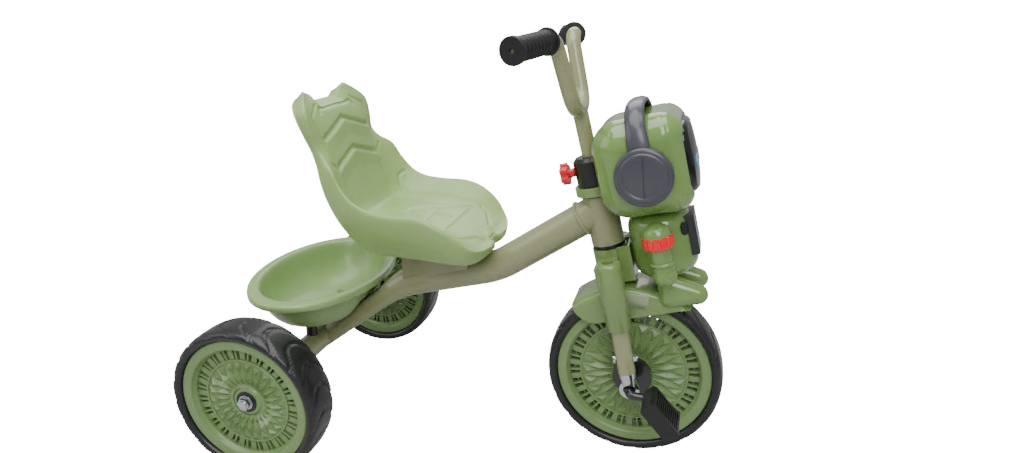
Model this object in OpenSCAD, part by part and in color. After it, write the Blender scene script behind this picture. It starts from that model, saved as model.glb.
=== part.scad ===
// Children's tricycle: a curved main tube carries a moulded bucket seat and an oval basket,
// and a raked fork carries the pedalled front wheel, a height-adjustable handlebar and a
// robot figure with headphones. +X is forward, +Y is the rider's left, +Z is up, z = 0 is the
// ground, and the origin is under the middle of the whole length.

/* [Layout] */
// Distance between the front and rear axles
wheelbase = 520; // [480:5:580]
// Distance between the middles of the two rear wheels
track = 424; // [400:2:480]
// Lean of the steering axis back from upright, in degrees
head_angle = 15; // [12:0.5:18]
// Distance of the front axle behind the steering axis
axle_offset = 3; // [0:0.5:6]

/* [Wheels] */
// Radius of the front wheel over its tyre
front_wheel_r = 130; // [110:1:156]
// Radius of a rear wheel over its tyre
rear_wheel_r = 115; // [96:1:138]
// Width of every tyre
tyre_w = 60; // [50:1:66]
// Radial depth of a tyre from its tread to its seat on the rim
tyre_depth = 24; // [20:1:28]
// Wall of the hollow tyres
tyre_wall = 4; // [3:0.5:5]
// Width of the flat flange that shows beside a tyre
flange_w = 13; // [9:1:16]
// Number of slot windows round a wheel
window_count = 24; // [12:1:30]
// Radius of a wheel's hub
hub_r = 22; // [19:1:26]
// Radius of the black disc on each side of the front hub
hub_cap_r = 29; // [24:1:31]

/* [Axles and pedals] */
// Radius of the front and rear axle rods
axle_r = 6; // [5:0.5:7]
// Radius of a pedal spindle
spindle_r = 5; // [4:0.5:5.5]
// Length of a crank arm
crank_l = 47; // [40:1:60]
// Pedal length along its spindle
pedal_l = 46; // [38:1:56]
// Pedal width across the foot
pedal_w = 58; // [46:1:66]
// Pedal thickness
pedal_t = 23; // [18:1:28]
// Tilt of the right pedal's tread from level, in degrees
pedal_tilt = 48; // [0:1:90]

/* [Frame tubes] */
// Radius of the round main tube
main_r = 24; // [20:0.5:28]
// Wall of the frame tubes
tube_wall = 2; // [1.5:0.25:3]
// Slope of the main tube down from the head, in degrees
main_slope = 35; // [32:0.5:38]
// Slope of the saddle stretch under the seat, in degrees
saddle_slope = 15.7; // [13:0.5:18]
// Length from the head to the first bend's corner
main_l = 188; // [170:1:210]
// Length of the saddle stretch between the two bends' corners
saddle_l = 160; // [145:1:185]
// Radius of the tube bends
bend_r = 150; // [120:5:170]
// Thickness of the flattened rear stay
stay_t = 32; // [26:1:36]
// Width of the flattened rear stay
stay_w = 58; // [46:1:64]
// Radius of the tube that houses the rear axle
axle_tube_r = 19; // [16:0.5:22]

/* [Head and steering] */
// Outer radius of the head tube and of the fork crown
head_r = 24; // [22:0.5:27]
// Length of the head tube
head_l = 73; // [66:1:84]
// Radius of the steerer tube
steerer_r = 15; // [13.5:0.5:17]
// Radius of the handlebar tube and its stem
bar_r = 10.5; // [9:0.5:11.5]
// Height of the fork crown
crown_h = 49; // [42:1:56]
// Half distance between the fork legs
leg_y = 62; // [58:1:70]
// Radius of a fork sleeve
sleeve_r = 18; // [16.5:0.5:19]
// Radius of a fork leg
leg_r = 12.5; // [10:0.5:14]
// Rake of the fork legs forward of the steering axis, in degrees
leg_rake = 2.5; // [0:0.5:4]

/* [Handlebar] */
// Height of the bar's lowest point above the top of the clamp
bar_rise = 67; // [60:1:80]
// Height of the bar's bend from its lowest point to the grips
bar_h = 98; // [88:1:110]
// Half distance between the bar's two uprights at the top
bar_half = 57; // [50:1:62]
// Length of a grip
grip_l = 88; // [76:1:106]
// Sweep of the grips backwards, in degrees
grip_sweep = 16; // [5:1:24]

/* [Seat and basket] */
// Height of the seat's base above the main tube
seat_lift = 27; // [24:1:34]
// Wall of the hollow blow-moulded seat
seat_wall = 3; // [2.5:0.25:3.5]
// Half length of the basket's rim
basket_a = 104; // [96:1:108]
// Half width of the basket's rim
basket_b = 157; // [130:1:170]
// Depth of the basket below its rim
basket_d = 80; // [60:1:84]
// Wall of the basket
basket_wall = 3; // [2.5:0.25:4]

/* [Fender and robot] */
// Gap between the front tyre and the fender
fender_gap = 10; // [8:0.5:12]
// Half width of the fender
fender_y = 40; // [37:0.5:42]
// Wall of the moulded covers
shell_wall = 2.5; // [2:0.25:3]
// Half width of the robot's head
robot_head_y = 72; // [64:1:78]
// Radius of the robot's body
robot_body_r = 45; // [41:1:47]
// Radius of a headphone cup
cup_r = 38.5; // [32:0.5:42]
// Travel of the side button
button_travel = 2; // [1:0.5:3]

/* [Hidden] */
$fn = 48;
fit = 0.05;                   // gap between two pieces fixed together
run = 0.06;                   // radial clearance of a turning or sliding fit
gap = 0.3;                    // gap between pieces that only lie close
front_x = (wheelbase + rear_wheel_r - front_wheel_r) / 2;
rear_x = front_x - wheelbase;
steer_x = front_x + axle_offset;

// Heights along the steering axis, from the level of the front axle
fender_r = front_wheel_r + fender_gap + shell_wall + 0.5;
crown_s = fender_r + 7;
seal_t = 5.5;
head_s = crown_s + crown_h + seal_t;
head_top_s = head_s + head_l;
ring_h = 13;
clamp_s = head_top_s + ring_h + 2.5;
clamp_h = 41;
clamp_r = head_r + 1.5;
clamp_top_s = clamp_s + clamp_h;
bar_s = clamp_top_s + bar_rise;
knob_s = clamp_s + 21;
steerer_top_s = clamp_top_s - 4;
steerer_foot_s = crown_s + 12;
stem_foot_s = head_s + 30;
stem_r = bar_r + 0.5;
leg_foot = [-axle_offset * cos(head_angle), 0, axle_offset * sin(head_angle)];

// Corners of the main tube's centre line in the X-Z plane, from the head to the rear axle
join_s = head_s + 51;
join = [steer_x - join_s * sin(head_angle), front_wheel_r + join_s * cos(head_angle)];
in_angle = 180 + main_slope;
mid_angle = 180 + saddle_slope;
corner1 = join + main_l * [cos(in_angle), sin(in_angle)];
corner2 = corner1 + saddle_l * [cos(mid_angle), sin(mid_angle)];
stay_end = [rear_x, rear_wheel_r - 7];
out_angle = 180 + atan2(corner2[1] - stay_end[1], corner2[0] - stay_end[0]);
function tangent(turn) = bend_r * tan(abs(turn) / 2);
function along(p, a, l) = p + l * [cos(a), sin(a)];
round_end = along(corner2, mid_angle, -tangent(out_angle - mid_angle) - 2);
saddle_top = main_r / cos(saddle_slope);
function tube_z(x) = corner1[1] + (x - corner1[0]) * tan(saddle_slope);

// Wheels, rear axle and basket; bush lip, washer and nut stack outwards beside each rear wheel
web_y = 14;
flange_y = tyre_w / 2 - 6;
front_hub_y = tyre_w / 2 - 7;
rear_hub_y = web_y + 1;
bush_lip_t = 1.5;
wheel_y = track / 2;
washer_y = wheel_y + rear_hub_y + bush_lip_t + 2 * fit;
axle_end_y = washer_y + 9.5;
axle_tube_y = wheel_y - tyre_w / 2 - 8;
basket_x = rear_x + 5;
basket_z = rear_wheel_r + 118;
rim_w = 15;
lip_h = 12;
post_y = 50;
post_r = 9;

// The seat's own reference point, on its flat base
seat_x = corner1[0] - 88;
seat_z = tube_z(seat_x) + saddle_top + seat_lift;
plate_t = 4;

// The robot stands in front of the steering axis: [forward, height] in the steering frame
robot_x = head_r + 53;
body_s = crown_s - 2;
body_h = 96;
head_low_s = body_s + body_h + 1;
head_h = 135;
head_mid_s = head_low_s + head_h / 2;
head_back = 10;
head_front = 136;
head_round = 38;
channel_r = clamp_r + 8;
visor_y = 56;
visor_h = 98;
visor_dome_r = 160;
dome_x = head_front + 9 - visor_dome_r;
band_w = 26;
band_t = 9;
arm_r = 15;
arm_y = robot_body_r + 13;
arm_s = body_s + 66;
button_angle = -40;
button_s = body_s + 68;
box_s = body_s + 18;
box_h = 32;

// ---------- Placing ----------
// The steering frame: local Z runs up the steering axis from the level of the front axle
module on_steering() {
    translate([steer_x, 0, front_wheel_r]) rotate([0, -head_angle, 0]) children();
}
// A fork leg's frame: local Z runs up the leg from the front axle
module on_leg(side) {
    on_steering() translate(leg_foot + [0, side * leg_y, 0]) rotate([0, leg_rake, 0]) children();
}
// The X-Z plane as a drawing plane: local Z points to the rider's right
module in_side_plane() { rotate([90, 0, 0]) children(); }
module on_axle(x, z, y = 0) { translate([x, y, z]) rotate([90, 0, 0]) children(); }
module ring(r_out, r_in, h) {
    difference() {
        cylinder(r = r_out, h = h);
        translate([0, 0, -1]) cylinder(r = r_in, h = h + 2);
    }
}
// A tube's section: t thick in X and w wide in Y, with half-round edges
module racetrack(t, w) {
    circle(r = t / 2);
    if (w > t) {
        for (k = [-1, 1]) translate([0, k * (w - t) / 2]) circle(r = t / 2);
        square([t, w - t], center = true);
    }
}
// A straight length in the drawing plane, from p towards angle a
module rod(p, a, l, t, w = 0) {
    translate([p[0], p[1], 0]) rotate([0, 0, a]) rotate([90, 0, 90]) linear_extrude(l) racetrack(t, w);
}
// A bend in the drawing plane at corner p, from heading a1 to heading a2
module bend(p, a1, a2, radius, t, w = 0) {
    side = sign(a2 - a1);
    start = p - radius * tan(abs(a2 - a1) / 2) * [cos(a1), sin(a1)];
    centre = start + radius * [cos(a1 + 90 * side), sin(a1 + 90 * side)];
    translate([centre[0], centre[1], 0]) rotate([0, 0, side > 0 ? a1 - 90 : a2 + 90])
        rotate_extrude(angle = abs(a2 - a1)) translate([radius, 0]) racetrack(t, w);
}
module rounded_box(x, y, z, r) {
    hull() for (i = [-1, 1], j = [-1, 1], k = [-1, 1])
        translate([i * (x / 2 - r), j * (y / 2 - r), k * (z / 2 - r)]) sphere(r = r, $fn = 24);
}
module rounded_square(x, y, r) { offset(r) square([x - 2 * r, y - 2 * r], center = true); }
// The same shape on both sides of the X-Z plane
module both_sides() { for (side = [-1, 1]) on_side(side) children(); }
module on_side(side) { mirror([0, side < 0 ? 1 : 0, 0]) children(); }

// ---------- Frame ----------
module main_run(r, over = 0) {
    t1 = tangent(mid_angle - in_angle);
    l2 = norm(round_end - corner1) - t1;
    in_side_plane() {
        rod(join, in_angle, main_l - t1 + 0.01, 2 * r);
        bend(corner1, in_angle, mid_angle, bend_r, 2 * r);
        rod(along(corner1, mid_angle, t1 - 0.01), mid_angle, l2 + 0.01 + over, 2 * r);
    }
}
module main_tube() color("#8f917b") difference() {
    main_run(main_r);
    main_run(main_r - tube_wall, 1);
    on_steering() translate([0, 0, head_s - 20]) cylinder(r = head_r + fit, h = head_l + 60);
    on_steering() translate([60, 0, head_s]) cube([120, 100, 240], center = true);
}
// The flattened stay under the basket: hollow where grow is negative
module stay_run(grow, over = 0) {
    t = stay_t + 2 * grow;
    w = stay_w + 2 * grow;
    t2 = tangent(out_angle - mid_angle);
    in_side_plane() {
        rod(along(corner2, mid_angle, fit - t2 - 2 - over), mid_angle, 2 + over, t, w);
        bend(corner2, mid_angle, out_angle, bend_r, t, w);
        rod(along(corner2, out_angle, t2 - 0.01), out_angle, norm(stay_end - corner2) - t2, t, w);
    }
}
module rear_stay() color("#8f917b") difference() {
    stay_run(0);
    stay_run(-tube_wall, 1);
    on_axle(rear_x, rear_wheel_r) cylinder(r = axle_tube_r + fit, h = 200, center = true);
    translate([rear_x - 60, 0, rear_wheel_r]) cube([120, 100, 80], center = true);
}
module head_tube() color("#8f917b") on_steering() translate([0, 0, head_s])
    ring(head_r, steerer_r + 3, head_l);
module head_bush(flange) {
    ring(steerer_r + 3 - fit, steerer_r + run, 14);
    translate([0, 0, -flange]) ring(head_r - 0.5, steerer_r + run, flange);
}
module head_bush_lower() color("#1c1c1e") on_steering() translate([0, 0, head_s - fit])
    head_bush(seal_t - 0.5 - fit);
module head_bush_upper() color("#1c1c1e") on_steering() translate([0, 0, head_top_s + fit])
    mirror([0, 0, 1]) head_bush(2);
module axle_tube() color("#8f917b") on_axle(rear_x, rear_wheel_r)
    translate([0, 0, -axle_tube_y]) ring(axle_tube_r, axle_tube_r - tube_wall, 2 * axle_tube_y);
module axle_tube_plugs() color("#1c1c1e") both_sides() on_axle(rear_x, rear_wheel_r, -axle_tube_y) {
    translate([0, 0, -18]) ring(axle_tube_r - tube_wall - fit, axle_r + fit, 18);
    translate([0, 0, fit]) ring(axle_tube_r, axle_r + fit, 3);
    translate([0, 0, 3]) ring(axle_r + 4, axle_r + fit, wheel_y - axle_tube_y - rear_hub_y - bush_lip_t - 3.2);
}
module rear_axle() color("#b9bbbd") on_axle(rear_x, rear_wheel_r)
    cylinder(r = axle_r, h = 2 * axle_end_y, center = true);
module rear_axle_nuts() color("#c9cbcd") both_sides() on_axle(rear_x, rear_wheel_r, -washer_y) {
    ring(11, axle_r + fit, 1.5);
    translate([0, 0, 1.45]) difference() {
        cylinder(r = 9.5, h = 6.5, $fn = 6);
        translate([0, 0, -1]) cylinder(r = axle_r + fit, h = 9);
    }
}

// ---------- Rear and front wheels ----------
// Half of a wheel's rim section: hub, hollow web, slot ring, barrel and side flange
function seat_r(r) = r - tyre_depth;
slot_h = 9;
module rim_half(r, bore, hub_y) {
    barrel = seat_r(r);
    difference() {
        union() {
            translate([bore, 0]) square([hub_r - bore, hub_y]);
            translate([bore, 0]) square([barrel - bore, web_y]);
            translate([barrel - 5, 0]) square([5, flange_y]);
            translate([barrel - 5, flange_y - 3]) square([flange_w, 3]);
        }
        translate([hub_r + 3, -1]) square([barrel - hub_r - 11, web_y - 2]);
    }
}
module rim(r, bore, hub_y) {
    difference() {
        rotate_extrude() {
            rim_half(r, bore, hub_y);
            mirror([0, 1]) rim_half(r, bore, hub_y);
        }
        for (i = [0 : window_count - 1]) rotate([0, 0, i * 360 / window_count])
            translate([seat_r(r) - 7 - slot_h, -slot_w(r) / 2, -tyre_w / 2])
                cube([slot_h, slot_w(r), tyre_w]);
    }
}
function slot_w(r) = 0.62 * 2 * PI * (seat_r(r) - 12) / window_count;
function tyre_outline(r) = [
    [seat_r(r) + fit, 0], [seat_r(r) + fit, flange_y - 3 - fit],
    [seat_r(r) + flange_w - 5 + gap, flange_y - 3 - fit], [seat_r(r) + flange_w - 5 + gap, tyre_w / 2 - 4],
    [seat_r(r) + flange_w - 1, tyre_w / 2 - 1], [r - 9, tyre_w / 2], [r - 3.5, tyre_w / 2 - 3],
    [r - 0.7, tyre_w / 2 - 9], [r, tyre_w / 2 - 17], [r, 0]
];
module tyre(r) rotate_extrude() for (m = [0, 1]) mirror([0, m]) difference() {
    polygon(tyre_outline(r));
    offset(delta = -tyre_wall) polygon(concat([[seat_r(r) + fit, -20]], [for (i = [1 : 8])
        tyre_outline(r)[i]], [[r, -20]]));
}
bush_r = axle_r + 5;
module rear_rim(side) color("#7c9466") on_axle(rear_x, rear_wheel_r, side * wheel_y)
    rim(rear_wheel_r, bush_r, rear_hub_y);
module rear_tyre(side) color("#1d1d20") on_axle(rear_x, rear_wheel_r, side * wheel_y)
    tyre(rear_wheel_r);
module rear_bushes(side) color("#1c1c1e") on_axle(rear_x, rear_wheel_r, side * wheel_y)
    for (m = [0, 1]) mirror([0, 0, m]) {
        translate([0, 0, rear_hub_y - 12]) ring(bush_r - fit, axle_r + run, 12 + 2 * fit);
        translate([0, 0, rear_hub_y + fit]) ring(hub_r - 6, axle_r + run, bush_lip_t);
    }
module left_rear_rim() rear_rim(1);
module right_rear_rim() rear_rim(-1);
module left_rear_tyre() rear_tyre(1);
module right_rear_tyre() rear_tyre(-1);
module left_rear_bushes() rear_bushes(1);
module right_rear_bushes() rear_bushes(-1);
module front_rim() color("#7c9466") on_axle(front_x, front_wheel_r)
    rim(front_wheel_r, axle_r + fit, front_hub_y);
module front_tyre() color("#1d1d20") on_axle(front_x, front_wheel_r) tyre(front_wheel_r);

// The front axle: a rod bent into a crank at each end, with a black hub disc on each side
crank_y = leg_y + 21;
crank_bend = 9;
pedal_in_y = crank_y + crank_bend + 1;
pedal_end = 4;
left_pedal_tilt = 20;
module crank_side() {
    rod([0, 0], 90, crank_y - crank_bend, 2 * axle_r);
    bend([0, crank_y], 90, 0, crank_bend, 2 * axle_r);
    rod([crank_bend - 0.01, crank_y], 0, crank_l - 2 * crank_bend + 0.02, 2 * axle_r);
    bend([crank_l, crank_y], 0, 90, crank_bend, 2 * axle_r);
    rod([crank_l, crank_y + crank_bend - 0.01], 90, pedal_l - pedal_end, 2 * spindle_r);
    rotate([-90, 0, 0]) translate([0, 0, front_hub_y + fit]) cylinder(r = hub_cap_r, h = 9);
}
module crank_axle() color("#232326") translate([front_x, 0, front_wheel_r]) {
    mirror([1, 0, 0]) crank_side();
    mirror([0, 1, 0]) crank_side();
}
module pedal(side, tilt) {
    translate([front_x - side * crank_l, 0, front_wheel_r]) on_side(side) translate([0, pedal_in_y, 0])
        rotate([-90, 0, 0]) rotate([0, 0, tilt]) difference() {
            linear_extrude(pedal_l) rounded_square(pedal_w, pedal_t, 5);
            translate([0, 0, -1]) cylinder(r = spindle_r + run, h = pedal_l - pedal_end + 1.5);
            for (k = [-1, 1], i = [-5 : 5]) translate([i * pedal_w / 14, k * pedal_t / 2, pedal_l / 2])
                cube([2, 3, pedal_l - 8], center = true);
        }
}
module left_pedal() color("#1b1b1d") pedal(1, left_pedal_tilt);
module right_pedal() color("#1b1b1d") pedal(-1, pedal_tilt);

// ---------- Fork ----------
module fork_crown() color("#7f9469") difference() {
    on_steering() {
        translate([0, 0, crown_s]) cylinder(r = head_r + 1, h = crown_h);
        translate([-2, 0, crown_s + 20]) cube([30, 2 * leg_y, 34], center = true);
    }
    on_steering() translate([0, 0, steerer_foot_s]) cylinder(r = steerer_r + fit, h = 100);
    for (side = [-1, 1]) on_leg(side) cylinder(r = sleeve_r + fit, h = 400);
}
module steerer() color("#b9bbbd") on_steering() translate([0, 0, steerer_foot_s + fit])
    ring(steerer_r, stem_r + run, steerer_top_s - steerer_foot_s);
sleeve_foot = front_wheel_r - 36;
sleeve_top = crown_s + crown_h - 4;
module fork_sleeve(side) color("#7f9469") on_leg(side) difference() {
    union() {
        translate([0, 0, sleeve_foot]) cylinder(r = sleeve_r, h = sleeve_top - sleeve_foot - 6);
        translate([0, 0, sleeve_top - 6 - 0.01]) cylinder(r1 = sleeve_r, r2 = sleeve_r - 5, h = 6);
    }
    translate([0, 0, sleeve_foot - 1]) cylinder(r = leg_r + fit, h = sleeve_top - sleeve_foot - 7);
}
module left_fork_sleeve() fork_sleeve(1);
module right_fork_sleeve() fork_sleeve(-1);
leg_bottom = 26;
bolt_h = 47;
module fork_leg(side) color("#9a9b80") on_leg(side) difference() {
    translate([0, 0, leg_bottom]) ring(leg_r, leg_r - tube_wall, sleeve_top - 10 - leg_bottom);
    translate([-30, 0, bolt_h]) rotate([0, 90, 0]) cylinder(r = 3 + fit, h = 60);
}
module left_fork_leg() fork_leg(1);
module right_fork_leg() fork_leg(-1);
eye_r = 14.5;
eye_t = 13;
module dropouts() color("#d5d7da") for (side = [-1, 1]) on_leg(side) difference() {
    union() {
        rotate([90, 0, 0]) cylinder(r = eye_r, h = eye_t, center = true);
        translate([0, 0, leg_bottom / 2]) cube([17, eye_t, leg_bottom - 0.1], center = true);
        translate([0, 0, leg_bottom - 8]) cylinder(r = leg_r - 0.5, h = 8 - fit);
        cylinder(r = leg_r - tube_wall - fit, h = bolt_h + 8);
    }
    rotate([90, 0, 0]) cylinder(r = axle_r + 3, h = 60, center = true);
    translate([-30, 0, bolt_h]) rotate([0, 90, 0]) cylinder(r = 3 + fit, h = 60);
}
module dropout_bushes() color("#1c1c1e") for (side = [-1, 1]) on_leg(side) rotate([90, 0, 0])
    translate([0, 0, -eye_t / 2 - 0.5]) ring(axle_r + 3 - fit, axle_r + run, eye_t + 1);
module leg_bolts() color("#d5d7da") for (side = [-1, 1]) on_leg(side) translate([0, 0, bolt_h])
    rotate([0, 90, 0]) {
        translate([0, 0, -leg_r - 3]) cylinder(r = 3, h = 2 * leg_r + 9);
        translate([0, 0, -leg_r - 3 - gap]) cylinder(r = 6, h = 3);
        translate([0, 0, leg_r + gap]) cylinder(r = 5.5, h = 4.5, $fn = 6);
    }

// ---------- Fender ----------
// The side view that the fender keeps: a round tail and a straight lower edge that rises forward
module fender_side() {
    tail = [-58, fender_r - 20];
    translate(tail) circle(r = 40);
    polygon([tail + [2, -40], [112, fender_r - 8], [112, fender_r + 20], [-98, fender_r + 20],
        tail + [-40, 0]]);
}
module half_ring(grow) rotate([90, 0, 0]) rotate_extrude() intersection() {
    offset(r = 9) square([2 * (fender_r + grow - 9), 2 * (fender_y + grow - 9)], center = true);
    translate([0, -100]) square([300, 200]);
}
module front_fender() color("#7f9469") {
    translate([front_x, 0, front_wheel_r]) intersection() {
        difference() {
            half_ring(0);
            half_ring(-shell_wall);
        }
        in_side_plane() linear_extrude(200, center = true) fender_side();
    }
    difference() {
        on_steering() translate([-18, -16, fender_r - 12]) cube([36, 32, crown_s - fender_r + 12 - fit]);
        translate([front_x, 0, front_wheel_r]) half_ring(-0.01);
    }
}
module mount_upright() color("#7f9469") on_steering() difference() {
    translate([14, -23, crown_s - 2]) cube([robot_x - robot_body_r - gap - 14, 46, crown_h + 4]);
    translate([0, 0, crown_s - 10]) cylinder(r = head_r + 1 + fit, h = crown_h + 40);
    translate([10, -20, crown_s - 10]) cube([18, 40, crown_h + 40]);
}

// ---------- Height clamp and handlebar ----------
module clamp_collar() color("#1a1a1c") on_steering() difference() {
    union() {
        translate([0, 0, clamp_s]) cylinder(r = clamp_r, h = clamp_h - 5);
        translate([0, 0, clamp_top_s - 5.01]) cylinder(r1 = clamp_r, r2 = clamp_r - 5, h = 5.01);
    }
    translate([0, 0, clamp_s - 1]) cylinder(r = steerer_r + fit, h = steerer_top_s - clamp_s + 1 + fit);
    translate([0, 0, clamp_s]) cylinder(r = stem_r + run, h = clamp_h + 1);
    translate([-60, 0, knob_s]) rotate([0, 90, 0]) cylinder(r = 4 + run, h = 60 - steerer_r);
}
module clamp_knob() color("#d8313a") on_steering() translate([-clamp_r, 0, knob_s]) rotate([0, -90, 0]) {
    translate([0, 0, steerer_r + gap - clamp_r]) cylinder(r = 4, h = clamp_r - steerer_r + 2);
    translate([0, 0, 1]) cylinder(r = 6.5, h = 8);
    translate([0, 0, 8.9]) {
        cylinder(r = 12.5, h = 11);
        for (i = [0 : 5]) rotate([0, 0, i * 60]) translate([11.5, 0, 0]) cylinder(r = 4.5, h = 11);
    }
}
module robot_ring() color("#7c9466") on_steering() translate([0, 0, head_top_s + 2.2]) difference() {
    union() {
        cylinder(r = channel_r - 3, h = ring_h);
        intersection() {
            translate([0, -18, 0]) cube([channel_r + 2, 36, ring_h]);
            cylinder(r = channel_r - fit, h = ring_h);
        }
    }
    translate([0, 0, -1]) cylinder(r = steerer_r + fit, h = ring_h + 2);
}
// The bar in its own plane: a round bottom welded to the stem, two leaning uprights, round tops
low_corner = [38, 0];
low_bend_r = 34;
top_bend_r = 22;
top_corner = [bar_half + 3, bar_h];
upright = atan2(top_corner[1] - low_corner[1], top_corner[0] - low_corner[0]);
low_t = low_bend_r * tan(upright / 2);
top_t = top_bend_r * tan(upright / 2);
grip_y = top_corner[0] + top_t;
sweep_r = 20;
sweep_t = sweep_r * tan(grip_sweep / 2);
grip_start = along([sweep_t, 0], grip_sweep, sweep_t);
// Stations along one half of the bar: [centre, heading, a normal]
bar_bends = concat(
    [for (k = [0 : 8]) let(a = upright * k / 8) [[0, low_corner[0] - low_t + low_bend_r * sin(a),
        low_bend_r * (1 - cos(a))], [0, cos(a), sin(a)], [1, 0, 0]]],
    [for (k = [0 : 6]) let(a = upright * (1 - k / 6)) [[0, grip_y - top_bend_r * sin(a),
        bar_h - top_bend_r * (1 - cos(a))], [0, cos(a), sin(a)], [1, 0, 0]]],
    [for (k = [1 : 4]) let(a = grip_sweep * k / 4) [[sweep_r * (cos(a) - 1), grip_y + sweep_r * sin(a),
        bar_h], [-sin(a), cos(a), 0], [cos(a), sin(a), 0]]]
);
bar_last = bar_bends[len(bar_bends) - 1];
bar_side = concat(bar_bends, [[bar_last[0] + (grip_l + 2) * bar_last[1], bar_last[1], bar_last[2]]]);
function flip(v) = [v[0], -v[1], v[2]];
bar_path = concat(
    [for (i = [len(bar_side) - 1 : -1 : 0]) [flip(bar_side[i][0]), -flip(bar_side[i][1]),
        flip(bar_side[i][2])]],
    bar_side
);
bar_sides = 32;
function bar_ring(st, r) = [for (i = [0 : bar_sides - 1]) let(a = 360 * (i + 0.5) / bar_sides)
    st[0] + r * (cos(a) * st[2] + sin(a) * cross(st[1], st[2]))];
module on_grip() {
    translate([0, grip_y, bar_h]) rotate([0, 0, 90]) translate(grip_start)
        rotate([0, 0, grip_sweep]) rotate([0, 90, 0]) children();
}
module handlebar() color("#9a9b80") on_steering() translate([0, 0, bar_s]) {
    translate([0, 0, stem_foot_s - bar_s]) difference() {
        cylinder(r = stem_r, h = bar_s - stem_foot_s);
        translate([0, 0, -1]) cylinder(r = stem_r - tube_wall, h = bar_s - stem_foot_s - 14);
    }
    loft([for (st = bar_path) bar_ring(st, bar_r)]);
}
grip_r = 14;
grip_flange_r = 17.5;
module grip(side) color("#1b1b1d") on_steering() translate([0, 0, bar_s]) on_side(side)
    on_grip() translate([0, 0, 6]) difference() {
        union() {
            cylinder(r = grip_r, h = grip_l);
            cylinder(r = grip_flange_r, h = 4);
            translate([0, 0, grip_l - 8]) cylinder(r = grip_flange_r - 0.5, h = 8);
            for (i = [1 : 8]) translate([0, 0, i * grip_l / 10]) cylinder(r = grip_r + 1.2, h = 3);
        }
        translate([0, 0, -1]) cylinder(r = bar_r + fit, h = grip_l - 3 + fit);
        cylinder(r = 3, h = grip_l + 1);
    }
module left_grip() grip(1);
module right_grip() grip(-1);

// ---------- Seat ----------
// Sections from the front lip to the top of the back, from the seat's reference point:
// [rim x, rim half width, rim z], [middle x, z] of the top, [middle x, z] and half width of the base
sections = [
    [[91, 42, 21], [89, 20], [90, 11], 34], [[83, 74, 23], [78, 22], [80, 4], 60],
    [[71, 95, 32], [66, 28], [66, 0], 74], [[56, 106, 48], [48, 36], [48, 0], 80],
    [[30, 112, 66], [25, 44], [25, 0], 82], [[0, 113, 75], [0, 48], [0, 0], 80],
    [[-40, 113, 75], [-40, 50], [-38, 0], 78], [[-70, 111, 78], [-75, 50], [-72, 2], 80],
    [[-90, 110, 86], [-100, 52], [-100, 16], 84], [[-102, 110, 96], [-113, 62], [-122, 46], 92],
    [[-115, 108, 112], [-124, 86], [-139, 78], 94], [[-127, 104, 132], [-134, 112], [-150, 106], 92],
    [[-145, 92, 146], [-143, 140], [-159, 134], 86], [[-155, 87, 160], [-150, 160], [-167, 154], 84],
    [[-160, 92, 183], [-159, 186], [-177, 180], 88], [[-166, 92, 206], [-171, 208], [-188, 202], 86],
    [[-176, 80, 221], [-180, 221], [-198, 215], 74], [[-188, 58, 235], [-187, 228], [-204, 222], 54]
];
// One half of a section: [share of the rim's half width, share of the base's, rise from middle
// to rim, drop from rim to base]
half = [
    [0.25, 0, 0, 0], [0.5, 0, 0.02, 0], [0.7, 0, 0.2, 0], [0.85, 0, 0.6, 0], [0.94, 0, 0.92, 0],
    [0.98, 0, 1, 0], [1, 0, 1, 0.12], [0.78, 0.22, 1, 0.5], [0.4, 0.6, 1, 0.8], [0, 1, 1, 0.97],
    [0, 0.5, 1, 1]
];
function mix(a, b, t) = a + (b - a) * t;
function section_point(c, h, side) = let(
    rim = [c[0][0], c[0][2]],
    p = mix(mix(c[1], rim, h[2]), c[2], h[3])
) [p[0], side * (h[0] * c[0][1] + h[1] * c[3]), p[1]];
function section(c) = concat(
    [for (h = half) section_point(c, h, 1)],
    [for (i = [len(half) - 1 : -1 : 0]) section_point(c, half[i], -1)]
);
function unit(v) = v / norm(v);
// The same section drawn in from its skins by t, and further in from its rim
// How much of the rim's rise is taken off, which is all of it where a void ends in a flat cap
function inset(c, t, flat) = let(
    u = unit(c[1] - c[2]),
    drop = 1.6 * t + flat * ([c[0][0], c[0][2]] - c[1]) * u
) section([[c[0][0] - drop * u[0], c[0][1] - 3.5 * t, c[0][2] - drop * u[1]], c[1] - t * u, c[2] + t * u,
    c[3] - 3 * t]);
module loft(rings) {
    n = len(rings[0]);
    m = len(rings);
    walls = [for (k = [0 : m - 2], i = [0 : n - 1]) let(a = k * n + i, b = k * n + (i + 1) % n)
        each [[a, a + n, b], [b, a + n, b + n]]];
    last = (m - 1) * n;
    caps = [for (i = [0 : n / 2 - 2]) let(p = n - 1 - i, q = n - 2 - i) each [[p, i, i + 1],
        [p, i + 1, q], [last + i, last + p, last + i + 1], [last + i + 1, last + p, last + q]]];
    polyhedron([for (r = rings) each r], concat(walls, caps));
}
module seat() color("#a3b487") translate([seat_x, 0, seat_z]) difference() {
    loft([for (c = sections) section(c)]);
    for (part = [[4, 10], [12, 15]])
        loft([for (i = [part[0] : part[1]])
            inset(sections[i], seat_wall, i == part[0] || i == part[1] ? 1 : 0.45)]);
}
bracket_y = 22;
bracket_back = 62;
bracket_front = 46;
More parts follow.
